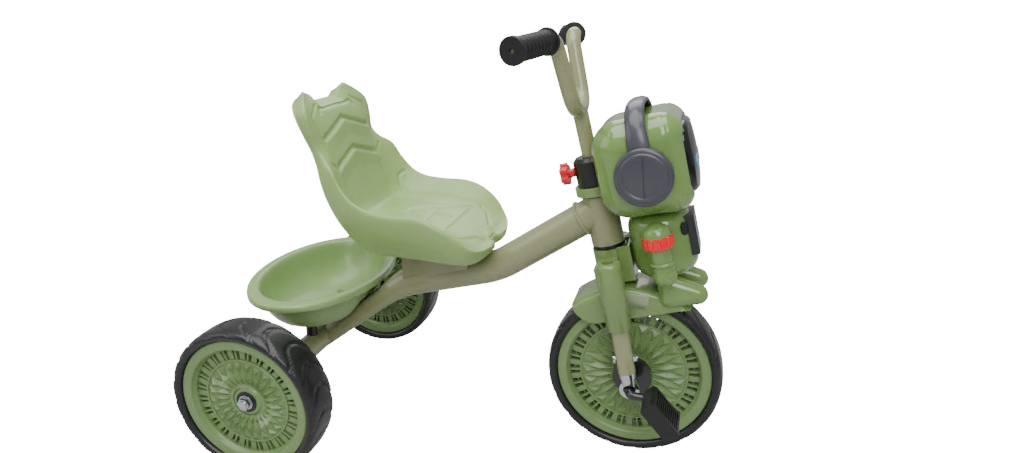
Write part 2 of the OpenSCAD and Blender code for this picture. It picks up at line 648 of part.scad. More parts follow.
module seat_bracket() color("#6d6f5f") difference() {
    translate([seat_x - bracket_back, -bracket_y, seat_z - 60])
        cube([bracket_back + bracket_front, 2 * bracket_y, 60 - plate_t - fit]);
    translate([seat_x - bracket_back - 1, 3 - bracket_y, seat_z - 61])
        cube([bracket_back + bracket_front + 2, 2 * bracket_y - 6, 58 - plate_t - fit]);
    main_run(main_r + fit);
    stay_run(fit);
    in_side_plane() translate([0, 0, -50]) linear_extrude(100)
        polygon([corner2 - [80, 120], corner2 - [80, 0], corner2, corner1, corner1 - [0, 120]]);
}
bolt_places = [[-52, -38], [-52, 38], [36, -38], [36, 38]];
module seat_plate() color("#1a1a1c") translate([seat_x, 0, seat_z - plate_t]) difference() {
    translate([-80, 0, 0]) linear_extrude(plate_t - fit) translate([72, 0]) rounded_square(144, 112, 10);
    for (p = bolt_places) translate([p[0], p[1], -1]) cylinder(r = 3 + fit, h = plate_t + 2);
}
module seat_bolts() color("#c9cbcd") translate([seat_x, 0, seat_z - plate_t]) for (p = bolt_places)
    translate([p[0], p[1], 0]) {
        translate([0, 0, -3]) cylinder(r = 3, h = plate_t + 3 - fit);
        translate([0, 0, -4.5 - fit]) cylinder(r = 6, h = 4.5);
    }

// ---------- Basket ----------
bowl_a = basket_a - rim_w + basket_wall;
bowl_b = basket_b - rim_w - 5 + basket_wall;
module bowl(grow) translate([basket_x, 0, basket_z]) hull() intersection() {
    scale([bowl_a + grow, bowl_b + grow, basket_d + grow]) sphere(r = 1, $fn = 36);
    translate([0, 0, -200]) cube([400, 400, 400], center = true);
}
module oval(grow, z, h) translate([basket_x, 0, basket_z + z]) linear_extrude(h) hull()
    scale([basket_a + grow, basket_b + grow]) circle(r = 1, $fn = 72);
module basket() color("#8fa774") difference() {
    union() {
        difference() {
            union() {
                bowl(0);
                oval(0, -basket_wall, basket_wall);
            }
            bowl_void();
        }
        difference() {
            oval(0, -lip_h, lip_h);
            oval(-2.5, -lip_h - 1, lip_h + 2);
        }
        intersection() {
            bowl(0);
            stay_run(basket_wall + 0.5);
        }
    }
    stay_run(0.5);
    for (side = [-1, 1]) translate([rear_x, side * post_y, basket_z - basket_d - 5])
        cylinder(r = 2.5 + fit, h = basket_d);
}
module bowl_void() {
    bowl(-basket_wall);
    oval(bowl_a - basket_wall - basket_a, -0.5, 5);
}
module basket_posts() color("#1c1c1e") for (side = [-1, 1]) difference() {
    translate([rear_x, side * post_y, rear_wheel_r]) cylinder(r = post_r, h = basket_z - rear_wheel_r - 40);
    on_axle(rear_x, rear_wheel_r) cylinder(r = axle_tube_r + fit, h = 300, center = true);
    bowl(fit);
    stay_run(fit);
    translate([rear_x, side * post_y, rear_wheel_r + axle_tube_r + 4]) cylinder(r = 2.5 + fit, h = 80);
}
module basket_screws() color("#c9cbcd") for (side = [-1, 1]) translate([rear_x, side * post_y, 0]) {
    foot = rear_wheel_r + axle_tube_r + 6;
    translate([0, 0, foot]) cylinder(r = 2.5, h = screw_z - foot + 3);
    translate([0, 0, screw_z]) cylinder(r = 6, h = 3);
}
screw_z = basket_z + 1.5 - (basket_d - basket_wall) * sqrt(1 - pow((post_y + 6) / (bowl_b - basket_wall), 2)
    - pow(12 / (bowl_a - basket_wall), 2));

// ---------- Robot ----------
module in_head() { on_steering() translate([0, 0, head_mid_s]) children(); }
module head_solid(grow) translate([(head_back + head_front) / 2, 0, 0])
    rounded_box(head_front - head_back + 2 * grow, 2 * robot_head_y + 2 * grow, head_h + 2 * grow,
        head_round + grow);
module head_shell() difference() {
    head_solid(0);
    difference() {
        head_solid(-shell_wall);
        cylinder(r = channel_r + shell_wall, h = 300, center = true);
    }
    cylinder(r = channel_r, h = 300, center = true);
}
seam_x = robot_x + 1;
module robot_head_rear() color("#6f9459") in_head() intersection() {
    head_shell();
    translate([seam_x - 150 - fit, 0, 0]) cube(300, center = true);
}
module robot_head_front() color("#6f9459") in_head() difference() {
    intersection() {
        head_shell();
        translate([seam_x + 150, 0, 0]) cube(300, center = true);
    }
    visor_prism(fit);
}
module visor_prism(grow) translate([100, 0, 0]) rotate([90, 0, 90]) linear_extrude(80)
    rounded_square(2 * (visor_y + grow), visor_h + 2 * grow, 26 + grow);
module dome(grow) translate([dome_x, 0, 0]) sphere(r = visor_dome_r + grow, $fn = 96);
module robot_visor() color("#101418") in_head() difference() {
    intersection() {
        visor_prism(0);
        dome(0);
        translate([head_front - 16 + 100, 0, 0]) cube(200, center = true);
    }
    intersection() {
        visor_prism(-2.5);
        dome(-2.5);
    }
}
eye_y = 22;
module robot_eyes() color("#35c8e0") in_head() for (side = [-1, 1]) intersection() {
    difference() {
        dome(1);
        dome(fit);
    }
    translate([80, side * eye_y, -7]) rotate([90, 0, 90]) linear_extrude(90) racetrack(18, 30);
}
cup_place = [seam_x, -5];
module headband() color("#55575f") in_head() translate([cup_place[0] - band_w / 2, 0, cup_place[1]])
    difference() {
        rotate([90, 0, 90]) linear_extrude(band_w) intersection() {
            difference() {
                rounded_square(2 * (robot_head_y + 12), 2 * band_up, 45);
                rounded_square(2 * (robot_head_y + 12 - band_t), 2 * (band_up - band_t), 36);
            }
            translate([-150, 0]) square([300, 200]);
        }
        translate([band_w / 2, 0, 0]) rotate([90, 0, 0]) cylinder(r = cup_r + fit, h = 400, center = true);
    }
band_up = head_h / 2 + 24;
module ear_cup(side) color("#55575f") in_head() translate([cup_place[0], side * robot_head_y, cup_place[1]])
    rotate([-side * 90, 0, 0]) rotate_extrude() polygon([
        [0, fit], [cup_r - 9, fit], [cup_r - 9, 4], [cup_r - 1, 4], [cup_r, 5.5], [cup_r, 11],
        [cup_r - 2.5, 14], [cup_r - 7, 14.5], [cup_r - 8, 16.5], [cup_r - 12, 16.5], [cup_r - 13.5, 15.5],
        [0, 15.5]
    ]);
module left_ear_cup() ear_cup(1);
module right_ear_cup() ear_cup(-1);
module on_body() { on_steering() translate([robot_x, 0, body_s]) children(); }
module body_solid(grow) rotate_extrude() intersection() {
    translate([0, body_h / 2]) rounded_square(2 * (robot_body_r + grow), body_h + 2 * grow, 22 + grow);
    translate([0, -50]) square([200, body_h + 100]);
}
module robot_body() color("#6f9459") on_body() difference() {
    body_solid(0);
    body_solid(-shell_wall);
    on_button() button_block(12 + 2 * gap, 18 + 2 * gap, 30, 60);
}
module on_button() { translate([0, 0, button_s - body_s]) rotate([0, 0, button_angle]) children(); }
module button_block(w, h, x0, x1) translate([x0, 0, 0]) rotate([90, 0, 90])
    linear_extrude(x1 - x0) rounded_square(w, h, 5.5);
module side_button() color("#20242a") on_body() on_button() {
    face = robot_body_r - shell_wall - 1.3;
    button_block(16, 22, face - 2.5, face);
    button_block(12, 18, face - 0.01, robot_body_r + 1.2);
}
module chest_panel() color("#20242a") on_body() difference() {
    translate([robot_body_r - 12, -25, 27]) cube([16, 50, 57]);
    body_solid(fit);
    on_button() button_block(12 + 2 * gap, 18 + 2 * gap, 30, 80);
}
module battery_box() color("#1c1c1e") on_body() translate([0, 0, box_s - body_s + 5 + box_h / 2])
    cube([56, 62, box_h - 2], center = true);
module speaker() color("#3a3a3e") on_body() translate([28 + fit, 0, box_s - body_s + 5 + box_h / 2])
    rotate([0, 90, 0]) {
        cylinder(r = 14, h = 4);
        cylinder(r1 = 12, r2 = 8, h = 9.5);
    }
module arm(side) color("#6f9459") on_body() difference() {
    translate([0, side * arm_y, 0]) {
        translate([0, 0, arm_s - body_s - 32]) cylinder(r = arm_r, h = 40);
        translate([0, 0, arm_s - body_s + 8]) sphere(r = arm_r);
        translate([0, 0, arm_s - body_s - 34]) cylinder(r = arm_r + 1.5, h = 4);
        translate([0, 0, arm_s - body_s - 50]) sphere(r = arm_r + 1.5);
        translate([0, 0, arm_s - body_s - 50]) cylinder(r = arm_r - 1, h = 20);
    }
    body_solid(fit);
}
module left_arm() arm(1);
module right_arm() arm(-1);
module shoulder_rings() color("#e2343c") on_body() for (side = [-1, 1]) difference() {
    translate([0, side * arm_y, arm_s - body_s - 9]) ring(arm_r + 6, arm_r + fit, 17);
    body_solid(fit);
}
foot_y = 30;
module robot_feet() color("#6f9459") for (side = [-1, 1]) difference() {
    on_body() translate([0, side * foot_y, 0]) {
        hull() {
            translate([-2, 0, -26]) sphere(r = 18, $fn = 24);
            translate([36, 0, -29]) sphere(r = 14, $fn = 24);
            translate([2, 0, -12]) sphere(r = 16, $fn = 24);
        }
        translate([-2, 0, -16]) cylinder(r = 15, h = 30);
    }
    on_body() body_solid(fit);
    on_body() translate([0, 0, -144]) cube([300, 200, 200], center = true);
    for (k = [-1, 1]) on_body() translate([0, k * arm_y, arm_s - body_s - 50]) sphere(r = arm_r + 1.5 + gap);
    translate([front_x, 0, front_wheel_r]) half_ring(fit);
    mount_block();
}
module mount_block() on_steering() translate([-60, -100, crown_s - 3]) cube([60 + 32 + gap, 200, 80]);

main_tube();
rear_stay();
head_tube();
head_bush_upper();
head_bush_lower();
axle_tube();
axle_tube_plugs();
rear_axle();
rear_axle_nuts();
seat_bracket();
seat_plate();
seat();
seat_bolts();
basket();
basket_posts();
basket_screws();
left_rear_rim();
left_rear_tyre();
left_rear_bushes();
right_rear_rim();
right_rear_tyre();
right_rear_bushes();
fork_crown();
steerer();
left_fork_sleeve();
right_fork_sleeve();
left_fork_leg();
right_fork_leg();
dropouts();
dropout_bushes();
leg_bolts();
front_fender();
mount_upright();
clamp_collar();
clamp_knob();
robot_ring();
robot_head_rear();
robot_head_front();
robot_visor();
robot_eyes();
headband();
left_ear_cup();
right_ear_cup();
robot_body();
chest_panel();
battery_box();
speaker();
side_button();
left_arm();
right_arm();
shoulder_rings();
robot_feet();
handlebar();
left_grip();
right_grip();
front_rim();
front_tyre();
crank_axle();
left_pedal();
right_pedal();
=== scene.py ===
import math

import bmesh
import bpy
from mathutils import Matrix, Vector


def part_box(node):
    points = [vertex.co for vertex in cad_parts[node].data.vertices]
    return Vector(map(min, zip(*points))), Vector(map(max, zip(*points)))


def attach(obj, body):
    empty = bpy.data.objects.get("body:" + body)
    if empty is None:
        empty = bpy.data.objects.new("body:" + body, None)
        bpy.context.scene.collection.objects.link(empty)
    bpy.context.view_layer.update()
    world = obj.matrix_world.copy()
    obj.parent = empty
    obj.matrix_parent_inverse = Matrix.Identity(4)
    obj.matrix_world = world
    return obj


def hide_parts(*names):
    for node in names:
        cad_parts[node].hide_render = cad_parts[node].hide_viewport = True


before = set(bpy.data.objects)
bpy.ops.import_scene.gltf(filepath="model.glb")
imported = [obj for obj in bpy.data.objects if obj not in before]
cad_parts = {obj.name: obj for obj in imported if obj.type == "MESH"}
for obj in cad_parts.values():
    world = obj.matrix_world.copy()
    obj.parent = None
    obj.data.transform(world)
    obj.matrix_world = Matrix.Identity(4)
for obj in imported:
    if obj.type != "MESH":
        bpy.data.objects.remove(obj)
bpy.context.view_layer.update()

# ---------- Studio ----------
# A plain white floor and backdrop with four broad soft lamps: above, in front, beside and behind.
# The camera stands off the tricycle's right side, a little above the handlebar.
camera_place = Vector((0.3098, -0.93729, 0.66764))
azimuth, elevation, roll = (math.radians(a) for a in (15.09, 18.64, 0.66))
back = Vector((math.sin(azimuth) * math.cos(elevation), -math.cos(azimuth) * math.cos(elevation),
               math.sin(elevation)))
level = Vector((math.cos(azimuth), math.sin(azimuth), 0))
above = back.cross(level)
right = math.cos(roll) * level + math.sin(roll) * above
top = -math.sin(roll) * level + math.cos(roll) * above
camera = bpy.data.objects.new("camera", bpy.data.cameras.new("camera"))
camera.data.lens = 24.06
camera.data.sensor_width = 36
camera.data.shift_y = -0.0028
camera.matrix_world = Matrix((
    (right.x, top.x, back.x, camera_place.x), (right.y, top.y, back.y, camera_place.y),
    (right.z, top.z, back.z, camera_place.z), (0, 0, 0, 1)))
bpy.context.scene.collection.objects.link(camera)
bpy.context.scene.camera = camera


class Value:
    """A number that varies over a surface: arithmetic on it adds Math nodes."""

    def __init__(self, finish, socket):
        self.finish, self.socket = finish, socket

    def math(self, operation, first, second):
        return self.finish.node("Math", {"operation": operation}, {0: first, 1: second})

    def __add__(self, other):
        return self.math("ADD", self, other)

    __radd__ = __add__

    def __mul__(self, other):
        return self.math("MULTIPLY", self, other)

    __rmul__ = __mul__


class Finish:
    """One material: its surface's own sockets, and one method that adds a node."""

    def __init__(self, name, **sockets):
        self.material = bpy.data.materials.new(name)
        self.material.use_nodes = True
        self.tree = self.material.node_tree
        self.surface = self.tree.nodes["Principled BSDF"]
        for socket, value in sockets.items():
            self.surface.inputs[socket.replace("_", " ")].default_value = value

    def node(self, kind, settings, inputs, out=0):
        made = self.tree.nodes.new("ShaderNode" + kind)
        for name, value in settings.items():
            setattr(made, name, value)
        for name, value in inputs.items():
            if isinstance(value, Value):
                self.tree.links.new(value.socket, made.inputs[name])
            else:
                made.inputs[name].default_value = value
        return Value(self, made.outputs[out])

    def place(self):
        return self.node("TexCoord", {}, {}, "Object")

    def speckle(self, scale, detail=2.0, rough=0.5):
        return self.node("TexNoise", {}, {"Vector": self.place(), "Scale": scale, "Detail": detail,
                                          "Roughness": rough})

    def level(self, value, low, high, to_low=0.0, to_high=1.0):
        return self.node("MapRange", {}, {"Value": value, "From Min": low, "From Max": high,
                                          "To Min": to_low, "To Max": to_high})

    def blend(self, share, first, second):
        return self.node("Mix", {"data_type": "RGBA"}, {0: share, 6: first, 7: second}, 2)

    def give(self, **values):
        for socket, value in values.items():
            self.tree.links.new(value.socket, self.surface.inputs[socket.replace("_", " ")])
        return self

    def bump(self, height, depth):
        """Height in 0 to 1 stands depth metres proud."""
        return self.give(Normal=self.node("Bump", {}, {"Strength": 1.0, "Distance": depth,
                                                       "Height": height}))


room_light, white_to_camera = 0.5, 16
floor_reach = 900
studio_floor = Finish("studio floor", Roughness=0.9, Emission_Strength=1.0)
seen = studio_floor.node("LightPath", {}, {}, "Is Camera Ray")
cloth = studio_floor.level(studio_floor.speckle(2), 0.3, 0.7)
studio_floor.give(
    Base_Color=studio_floor.blend(cloth, (0.5, 0.5, 0.5, 1), (0.52, 0.52, 0.52, 1)),
    Emission_Color=studio_floor.blend(seen, (0, 0, 0, 1), (*[white_to_camera] * 3, 1)))
bm = bmesh.new()
bmesh.ops.create_grid(bm, x_segments=1, y_segments=1, size=floor_reach)
floor = bpy.data.objects.new("floor", bpy.data.meshes.new("floor"))
bm.to_mesh(floor.data)
bm.free()
floor.data.materials.append(studio_floor.material)
bpy.context.scene.collection.objects.link(floor)

world = bpy.data.worlds.new("studio")
bpy.context.scene.world = world
world.use_nodes = True
sky = world.node_tree.nodes["Background"]
sky.inputs["Color"].default_value = (1, 1, 1, 1)
rays = world.node_tree.nodes.new("ShaderNodeLightPath")
glow = world.node_tree.nodes.new("ShaderNodeMapRange")
glow.inputs["To Min"].default_value, glow.inputs["To Max"].default_value = room_light, white_to_camera
world.node_tree.links.new(rays.outputs["Is Camera Ray"], glow.inputs["Value"])
world.node_tree.links.new(glow.outputs["Result"], sky.inputs["Strength"])
seat_height = Vector((0, 0, 0.25))
for name, place, size, power in (
        ("top", (-0.2, -0.3, 2.3), 2.0, 50), ("key", (0.7, -1.9, 1.9), 1.2, 26),
        ("fill", (-2.3, -1.0, 1.5), 1.6, 12), ("rim", (-0.4, 2.2, 2.0), 1.6, 18)):
    lamp = bpy.data.objects.new(name, bpy.data.lights.new(name, "AREA"))
    lamp.data.size, lamp.data.energy = size, power
    lamp.location = place
    lamp.rotation_euler = (seat_height - Vector(place)).to_track_quat("-Z", "Y").to_euler()
    bpy.context.scene.collection.objects.link(lamp)

# ---------- Main tube ----------
# One bent round steel tube of 48 mm, flattened towards its tail under the basket and welded to
# the head tube in front and to the axle tube behind. Olive beige stove enamel.
MM = Matrix.Scale(0.001, 4)


def shell(bm, name, body, finishes, slot, *nodes, place=MM, crease=38):
    """Closes a bmesh into a piece that rides on a body and stands for CAD nodes."""
    bmesh.ops.remove_doubles(bm, verts=bm.verts, dist=0.004)
    bmesh.ops.recalc_face_normals(bm, faces=bm.faces)
    bm.transform(place)
    mesh = bpy.data.meshes.new(name)
    bm.to_mesh(mesh)
    bm.free()
    mesh.shade_smooth()
    mesh.set_sharp_from_angle(angle=math.radians(crease))
    made = bpy.data.objects.new(name, mesh)
    bpy.context.scene.collection.objects.link(made)
    for finish in finishes if isinstance(finishes, (list, tuple)) else [finishes]:
        mesh.materials.append(finish.material)
    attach(made, body)
    if nodes:
        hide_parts(*nodes)
    return made


def keep_nodes(finish, *nodes, edge=0.0006):
    """CAD nodes that stay: their finish, welded corners and a small broken edge."""
    for node in nodes:
        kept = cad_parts[node]
        kept.data.materials.clear()
        kept.data.materials.append(finish.material)
        kept.data.shade_smooth()
        weld = kept.modifiers.new("weld", "WELD")
        weld.merge_threshold = 0.00001
        bevel = kept.modifiers.new("edge", "BEVEL")
        bevel.width, bevel.segments, bevel.limit_method = edge, 2, "ANGLE"
        bevel.angle_limit = math.radians(35)
        bevel.use_clamp_overlap = True
        kept.modifiers.new("shade", "WEIGHTED_NORMAL").keep_sharp = True


def loft(rings, sides):
    """A tube through rings, each of which gives a point for an angle, with flat ends."""
    bm = bmesh.new()
    bmesh.ops.create_circle(bm, radius=1, segments=sides)
    turn = bm.verts.layers.float.new("turn")
    for vert in bm.verts:
        vert[turn] = math.atan2(vert.co.y, vert.co.x) % (2 * math.pi)
    edges, verts = bm.edges[:], bm.verts[:]
    for index, ring in enumerate(rings):
        if index:
            made = bmesh.ops.extrude_edge_only(bm, edges=edges)["geom"]
            verts = [item for item in made if isinstance(item, bmesh.types.BMVert)]
            edges = [item for item in made if isinstance(item, bmesh.types.BMEdge)
                     and item.is_boundary]
        for vert in verts:
            vert.co = ring(vert[turn])
    bmesh.ops.holes_fill(bm, edges=[edge for edge in bm.edges if edge.is_boundary])
    return bm


def flat_run(point, heading, thick, wide):
    """One ring of a tube in the X-Z plane, as thick as given and wider across."""
    up = Vector((-heading.z, 0, heading.x))
    if up.z < 0:
        up.negate()
    shoulder = 2.2

    def ring(angle):
        across = (wide - thick) / 2 * max(-1, min(1, shoulder * math.sin(angle)))
        return point + up * (thick / 2 * math.cos(angle)) + \
            Vector((0, across + thick / 2 * math.sin(angle), 0))
    return ring


def colour(code, gain=1.0):
    """A linear colour from its sRGB code."""
    parts = [int(code[i:i + 2], 16) / 255 for i in (0, 2, 4)]
    return [*((p / 12.92 if p < 0.04045 else ((p + 0.055) / 1.055) ** 2.4) * gain for p in parts), 1]


def painted(name, code, rough=0.28):
    """Stove enamel on steel: a slight orange peel under its gloss, with faint dust specks."""
    finish = Finish(name, Coat_Weight=0.6, Coat_Roughness=0.1, IOR=1.5)
    fleck = finish.level(finish.speckle(900, 2), 0.66, 0.72)
    tone = finish.blend(finish.level(finish.speckle(9, 2), 0.3, 0.7), colour(code, 0.97),
                        colour(code, 1.04))
    finish.give(Base_Color=finish.blend(fleck * 0.25, tone, colour(code, 1.4)),
                Roughness=rough + 0.04 * finish.speckle(35, 4))
    return finish.bump(finish.speckle(260, 2), 0.00006)


frame_enamel = painted("frame enamel", "8c8f68", 0.26)
rake = math.radians(15)
trail = 3
tube_d, tail_thinner, tail_wider = 48, 16, 10
tube_up_head = 255.5
head_wall_r = 22
tube_sides = 64
front_low, front_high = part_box("front_rim")
front_axle = (front_low + front_high) / 2 * 1000
rear_low, rear_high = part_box("right_rear_rim")
rear_axle = (rear_low + rear_high) / 2 * 1000
steer_x = front_axle.x + trail
steering = Matrix.Translation((steer_x / 1000, 0, front_axle.z / 1000)) @ \
    Matrix.Rotation(-rake, 4, "Y") @ MM
corners = [Vector((steer_x - tube_up_head * math.sin(rake), 0,
                   front_axle.z + tube_up_head * math.cos(rake))),
           Vector((35.4, 0, 269.0)), Vector((-118.6, 0, 225.7)), Vector((rear_axle.x, 0, 108))]
bend_radius, bend_steps, ring_gap = 150, 12, 9
spine = [corners[0]]
for before, here, after in zip(corners, corners[1:], corners[2:]):
    a, b = (here - before).normalized(), (after - here).normalized()
    turn_angle = a.angle(b)
    reach = bend_radius * math.tan(turn_angle / 2)
    for step in range(bend_steps + 1):
        share = step / bend_steps
        first, second = here - a * reach, here + b * reach
        spine.append(first.lerp(here, share).lerp(here.lerp(second, share), share))
spine.append(corners[-1])
path = []
for first, second in zip(spine, spine[1:]):
    pieces = max(1, int((second - first).length / ring_gap))
    path += [first.lerp(second, step / pieces) for step in range(pieces)]
path.append(spine[-1])
rings = []
for index, point in enumerate(path):
    heading = (path[min(index + 1, len(path) - 1)] - path[max(index - 1, 0)]).normalized()
    flat = max(0, min(1, (-95 - point.x) / 70))
    flat = flat * flat * (3 - 2 * flat)
    rings.append(flat_run(point, heading, tube_d - tail_thinner * flat, tube_d + tail_wider * flat))
tube_way = (corners[1] - corners[0]).normalized()
off_axis = Vector((-math.cos(rake), 0, -math.sin(rake)))


def saddle(angle):
    """The tube's front end, cut to a curve inside the head tube's wall."""
    point = flat_run(corners[0], tube_way, tube_d, tube_d)(angle)
    depth = math.sqrt(max(0, head_wall_r ** 2 - point.y ** 2)) - (point - corners[0]).dot(off_axis)
    return point + tube_way * (depth / tube_way.dot(off_axis))


clear_of_saddle = 50
rings = [saddle] + [ring for ring, point in zip(rings, path)
                    if (point - corners[0]).length > clear_of_saddle]
bm = loft(rings, tube_sides)
turn = bm.verts.layers.float["turn"]
bm.verts.ensure_lookup_table()
mouth = sorted(bm.verts[:tube_sides], key=lambda vert: vert[turn])
quarter = tube_sides // 4
for index in range(1 - quarter, quarter):
    bmesh.ops.connect_verts(bm, verts=[mouth[index % tube_sides], mouth[2 * quarter - index]])
shell(bm, "main_tube_bent", "frame", frame_enamel, "frame_paint", "main_tube", "rear_stay")


# ---------- Head weld ----------
# A rippled bead of weld round the main tube where it meets the head tube, under the same enamel.
ripples, ripple_height = 44, 0.02


def bead(centre, normal, radius, wide, thick):
    """A closed ring of weld bead in the plane across a normal."""
    bm = bmesh.new()
    side = Vector((0, 1, 0))
    up = normal.cross(side).normalized()
    stand = Matrix.Translation((radius, 0, 0)) @ Matrix.Rotation(math.pi / 2, 4, "X")
    bmesh.ops.create_circle(bm, radius=thick, segments=10, matrix=stand)
    bmesh.ops.spin(bm, geom=bm.verts[:] + bm.edges[:], cent=(0, 0, 0), axis=(0, 0, 1),
                   angle=2 * math.pi, steps=120, use_merge=True)
    for vert in bm.verts:
        angle = math.atan2(vert.co.y, vert.co.x)
        ripple = 1 + ripple_height * math.sin(ripples * angle)
        vert.co = centre + up * (vert.co.x * ripple) + side * (vert.co.y * wide * ripple) + \
            normal * vert.co.z
    return bm


weld_from_axis, weld_r, weld_squash, weld_thick = 31, 24.4, 0.98, 2.6
shell(bead(corners[0] + tube_way * weld_from_axis, tube_way, weld_r, weld_squash, weld_thick),
      "head_weld", "frame", frame_enamel, "frame_paint")


# ---------- Head tube, axle tube and their bushes ----------
# Straight lengths of steel tube in the frame's enamel, and a folded seat bracket welded on. Black
# plastic bushes and plugs are pushed into the tubes' ends.
def moulded(name, code, rough, coat=0.0, grain=0.00002, grain_scale=1500, vary=0.06, wear=0.1):
    """Injection or blow moulded plastic: faint clouding, a fine moulded grain and rubbed patches."""
    finish = Finish(name, Coat_Weight=coat, Coat_Roughness=0.08, IOR=1.48)
    cloud = finish.speckle(14, 3)
    shade = finish.blend(finish.level(cloud, 0.3, 0.7), colour(code, 1 - vary), colour(code, 1 + vary))
    rub = finish.level(finish.speckle(60, 5, 0.7), 0.55, 0.75)
    finish.give(Base_Color=finish.blend(rub * wear, shade, colour(code, 1.25)),
                Roughness=rough + 0.12 * rub + 0.06 * cloud)
    return finish.bump(finish.speckle(grain_scale, 2) + 6.0 * finish.speckle(90, 2), grain)


keep_nodes(frame_enamel, "head_tube", "axle_tube", "seat_bracket")
black_satin = moulded("black satin", "101012", 0.34, coat=0.15)
keep_nodes(black_satin, "head_bush_upper", "head_bush_lower", "axle_tube_plugs")


# ---------- Rods, nuts and bolts ----------
# Bright zinc plated steel: the rear axle rod with a nut on each end, the steerer, the four bolts
# that hold the seat and the two screws in the basket.
def plated(name, code="c9ccd2", rough=0.16):
    """Bright zinc or chrome plate with fine handling scratches."""
    finish = Finish(name, Metallic=1.0)
    haze = finish.level(finish.speckle(120, 6, 0.7), 0.4, 0.75)
    finish.give(Base_Color=finish.blend(haze, colour(code), colour(code, 0.72)),
                Roughness=rough + 0.22 * haze)
    return finish.bump(finish.speckle(700, 3), 0.00002)


bright_zinc = plated("bright zinc")
keep_nodes(bright_zinc, "rear_axle", "rear_axle_nuts", "seat_bolts", "basket_screws", "steerer",
           edge=0.0003)


# ---------- Seat plate ----------
# A pressed steel plate in black enamel, bolted between the bracket and the seat.
black_steel = painted("black enamel", "1a1a1c", 0.3)
keep_nodes(black_steel, "seat_plate")


# ---------- Wheels ----------
# Each wheel is one green moulding: a hub, a disc with a faceted star on both faces, a ring of
# slot windows and a wide flat flange. A hollow black blow-moulded tyre snaps over it.
def lathe(outline, steps, bm=None, closed=True):
    """Spins an outline of (radius, height) about Z: a closed one, or an open run of points."""
    bm = bm or bmesh.new()
    made = [bm.verts.new((radius, 0, height)) for radius, height in outline]
    edges = [bm.edges.new(pair) for pair in zip(made, made[1:] + made[:1] if closed else made[1:])]
    bmesh.ops.spin(bm, geom=made + edges, cent=(0, 0, 0), axis=(0, 0, 1), angle=2 * math.pi,
                   steps=steps, use_merge=True)
    return bm


def facet(bm, outline, height, depth, turns):
    """A raised pyramid over an outline of (radius, degrees), repeated on both faces."""
    for side in (-1, 1):
        for turn in range(turns):
            made = []
            for radius, degrees in outline:
                angle = math.radians(degrees + 360 * turn / turns)
                made.append(bm.verts.new((radius * math.cos(angle), radius * math.sin(angle),
                                          side * (height - 1))))
            base = bm.faces.new(made)
            top = bmesh.ops.extrude_face_region(bm, geom=[base])["geom"]
            lifted = [item for item in top if isinstance(item, bmesh.types.BMVert)]
            bmesh.ops.translate(bm, verts=lifted, vec=(0, 0, side))
            lid = [item for item in top if isinstance(item, bmesh.types.BMFace)]
            centre = bmesh.ops.poke(bm, faces=lid, offset=0)["verts"]
            bmesh.ops.translate(bm, verts=centre, vec=(0, 0, side * depth))


def bar(bm, low, high, turn):
    """A box between two corners, turned about Z by degrees."""
    low, high = Vector(low), Vector(high)
    made = bmesh.ops.create_cube(bm, size=1, matrix=Matrix.Rotation(math.radians(turn), 4, "Z")
                                 @ Matrix.Translation((low + high) / 2)
                                 @ Matrix.Diagonal((*(high - low), 1)))
    return made["verts"]


wheel_green = moulded("wheel green", "74915a", 0.3, coat=0.2)
tyre_black = moulded("tyre black", "131317", 0.36, coat=0.25, grain=0.00004, grain_scale=900)


star_points, disc_half = 24, 13


def rim_shape(radius, hub_height):
    """A rim for a wheel of this radius, about its own axis."""
    seat = radius - 24
    star = seat - 31
    half = [(6.4, hub_height), (19.5, hub_height), (22, hub_height - 2), (22, 15), (24, disc_half),
            (star + 3, disc_half), (star + 3.5, 15), (seat - 25.5, 15), (seat - 25, 14.5)]
    bm = lathe(half + [(seat - 25, -14.5)] + [(r, -z) for r, z in half[-2::-1]], 144)
    half = [(seat - 9.5, 16), (seat - 8.5, 17.5), (seat - 7, 20), (seat - 6, 22.6), (seat - 4.6, 23.7),
            (seat + 6.5, 23.9), (seat + 7.8, 23), (seat + 8, 21.2), (seat, 20.8), (seat, 0.5)]
    lathe(half + [(r, -z) for r, z in half[::-1]], 144, bm)
    wide = star * 0.69
    inner = max(star * 0.35, 25)
    for outline, depth in (
            ([(inner, 0), (wide, -7.2), (star + 1.5, 0), (wide, 7.2)], 7.0),
            ([(wide + 3.5, 7.5), (star + 2, 1.8), (star + 2.4, 7.5), (star + 2, 13.2)], 5.0),
            ([(wide - 4, 7.5), (inner + 2, 2.4), (inner + 1, 7.5), (inner + 2, 12.6)], 3.6)):
        facet(bm, outline, disc_half, depth, star_points)
    pitch = 360 // star_points
    for turn in range(star_points):
        bar(bm, (seat - 27, -4.2, -12.5), (seat - 7, 4.2, 12.5), turn * pitch)
        bar(bm, (seat - 27, -1.3, -13.5), (seat - 7, 1.3, 13.5), (turn + 0.5) * pitch)
        bar(bm, (seat - 18, -5, -9), (seat - 16, 5, 9), (turn + 0.5) * pitch)
    return bm


